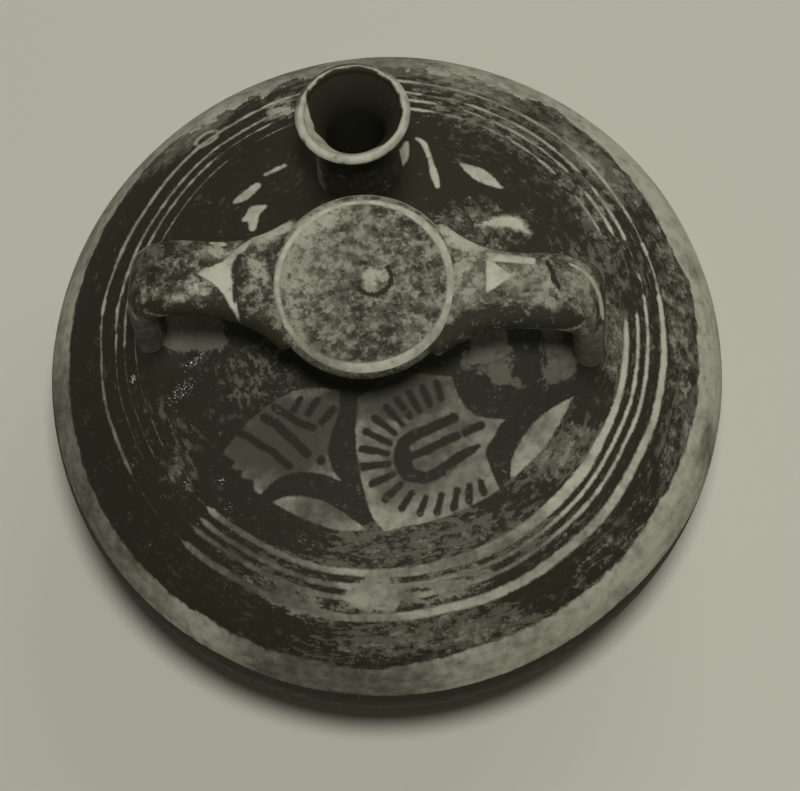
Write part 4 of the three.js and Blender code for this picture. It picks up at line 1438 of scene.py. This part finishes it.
# Lamps: azimuth and elevation in degrees, distance and size in metres, and watts
LAMPS = {"front lamp": (284, 81.0, 1.6, 0.23, 18.8), "side window": (56, 40, 1.6, 1.4, 6.8)}
LAMP_AIM = Vector((0, 0, 60)) * MM
VIEW_ELEVATION = math.radians(72.87)
VIEW_ROLL = math.radians(7.24)
VIEW_TARGET = Vector((2.29, -4.45, 44)) * MM
VIEW_DISTANCE = 0.84
VIEW_LENS = 181.76
VIEW_SENSOR = 36

floor_mesh = bpy.data.meshes.new("table_top")
floor_corners = [(x * FLOOR_REACH, y * FLOOR_REACH, 0) for x, y in ((-1, -1), (1, -1), (1, 1), (-1, 1))]
floor_mesh.from_pydata(floor_corners, [], [(0, 1, 2, 3)])
floor = object_with("table_top", floor_mesh)
floor_finish = bpy.data.materials.new("pale table top")
floor_finish.use_nodes = True
floor_shader = floor_finish.node_tree.nodes["Principled BSDF"]
floor_shader.inputs["Base Color"].default_value = FLOOR_COLOUR
floor_shader.inputs["Roughness"].default_value = FLOOR_ROUGHNESS
floor_mesh.materials.append(floor_finish)

world = bpy.data.worlds.new("soft room light")
world.use_nodes = True
world.node_tree.nodes.clear()
g = Graph(world.node_tree)
path = g.tree.nodes.new("ShaderNodeLightPath")
seen_rays = ("Is Camera Ray", "Is Glossy Ray", "Is Transmission Ray")
seen = g.largest(*(Wire(g, path.outputs[ray]) for ray in seen_rays))
room = g.node("ShaderNodeBackground", {"Color": ROOM_LIGHT, "Strength": ROOM_STRENGTH})
backdrop = g.node("ShaderNodeBackground", {"Color": BACKDROP_COLOUR, "Strength": 1.0})
both = g.node("ShaderNodeMixShader", {0: seen, 1: room, 2: backdrop})
g.feed(g.tree.nodes.new("ShaderNodeOutputWorld").inputs["Surface"], both)
bpy.context.scene.world = world

for name, (azimuth, elevation, distance, size, power) in LAMPS.items():
    lamp = bpy.data.lights.new(name, "AREA")
    lamp.shape = "DISK"
    lamp.size = size
    lamp.energy = power
    holder = object_with(name, lamp)
    a, e = math.radians(azimuth), math.radians(elevation)
    towards = Vector((math.cos(a) * math.cos(e), math.sin(a) * math.cos(e), math.sin(e)))
    holder.location = LAMP_AIM + towards * distance
    holder.rotation_euler = towards.to_track_quat("Z", "Y").to_euler()

lens = bpy.data.cameras.new("camera")
lens.lens = VIEW_LENS
lens.sensor_width = VIEW_SENSOR
camera = bpy.data.objects.new("camera", lens)
bpy.context.scene.collection.objects.link(camera)
ahead = Vector((0, math.cos(VIEW_ELEVATION), -math.sin(VIEW_ELEVATION)))
up = Vector((0, math.sin(VIEW_ELEVATION), math.cos(VIEW_ELEVATION)))
right = Vector((1, 0, 0))
camera_x = right * math.cos(VIEW_ROLL) - up * math.sin(VIEW_ROLL)
camera_y = right * math.sin(VIEW_ROLL) + up * math.cos(VIEW_ROLL)
turn = Matrix((camera_x, camera_y, -ahead)).transposed().to_4x4()
camera.matrix_world = Matrix.Translation(VIEW_TARGET - ahead * VIEW_DISTANCE) @ turn
bpy.context.scene.camera = camera
bpy.context.scene.view_settings.view_transform = "Standard"
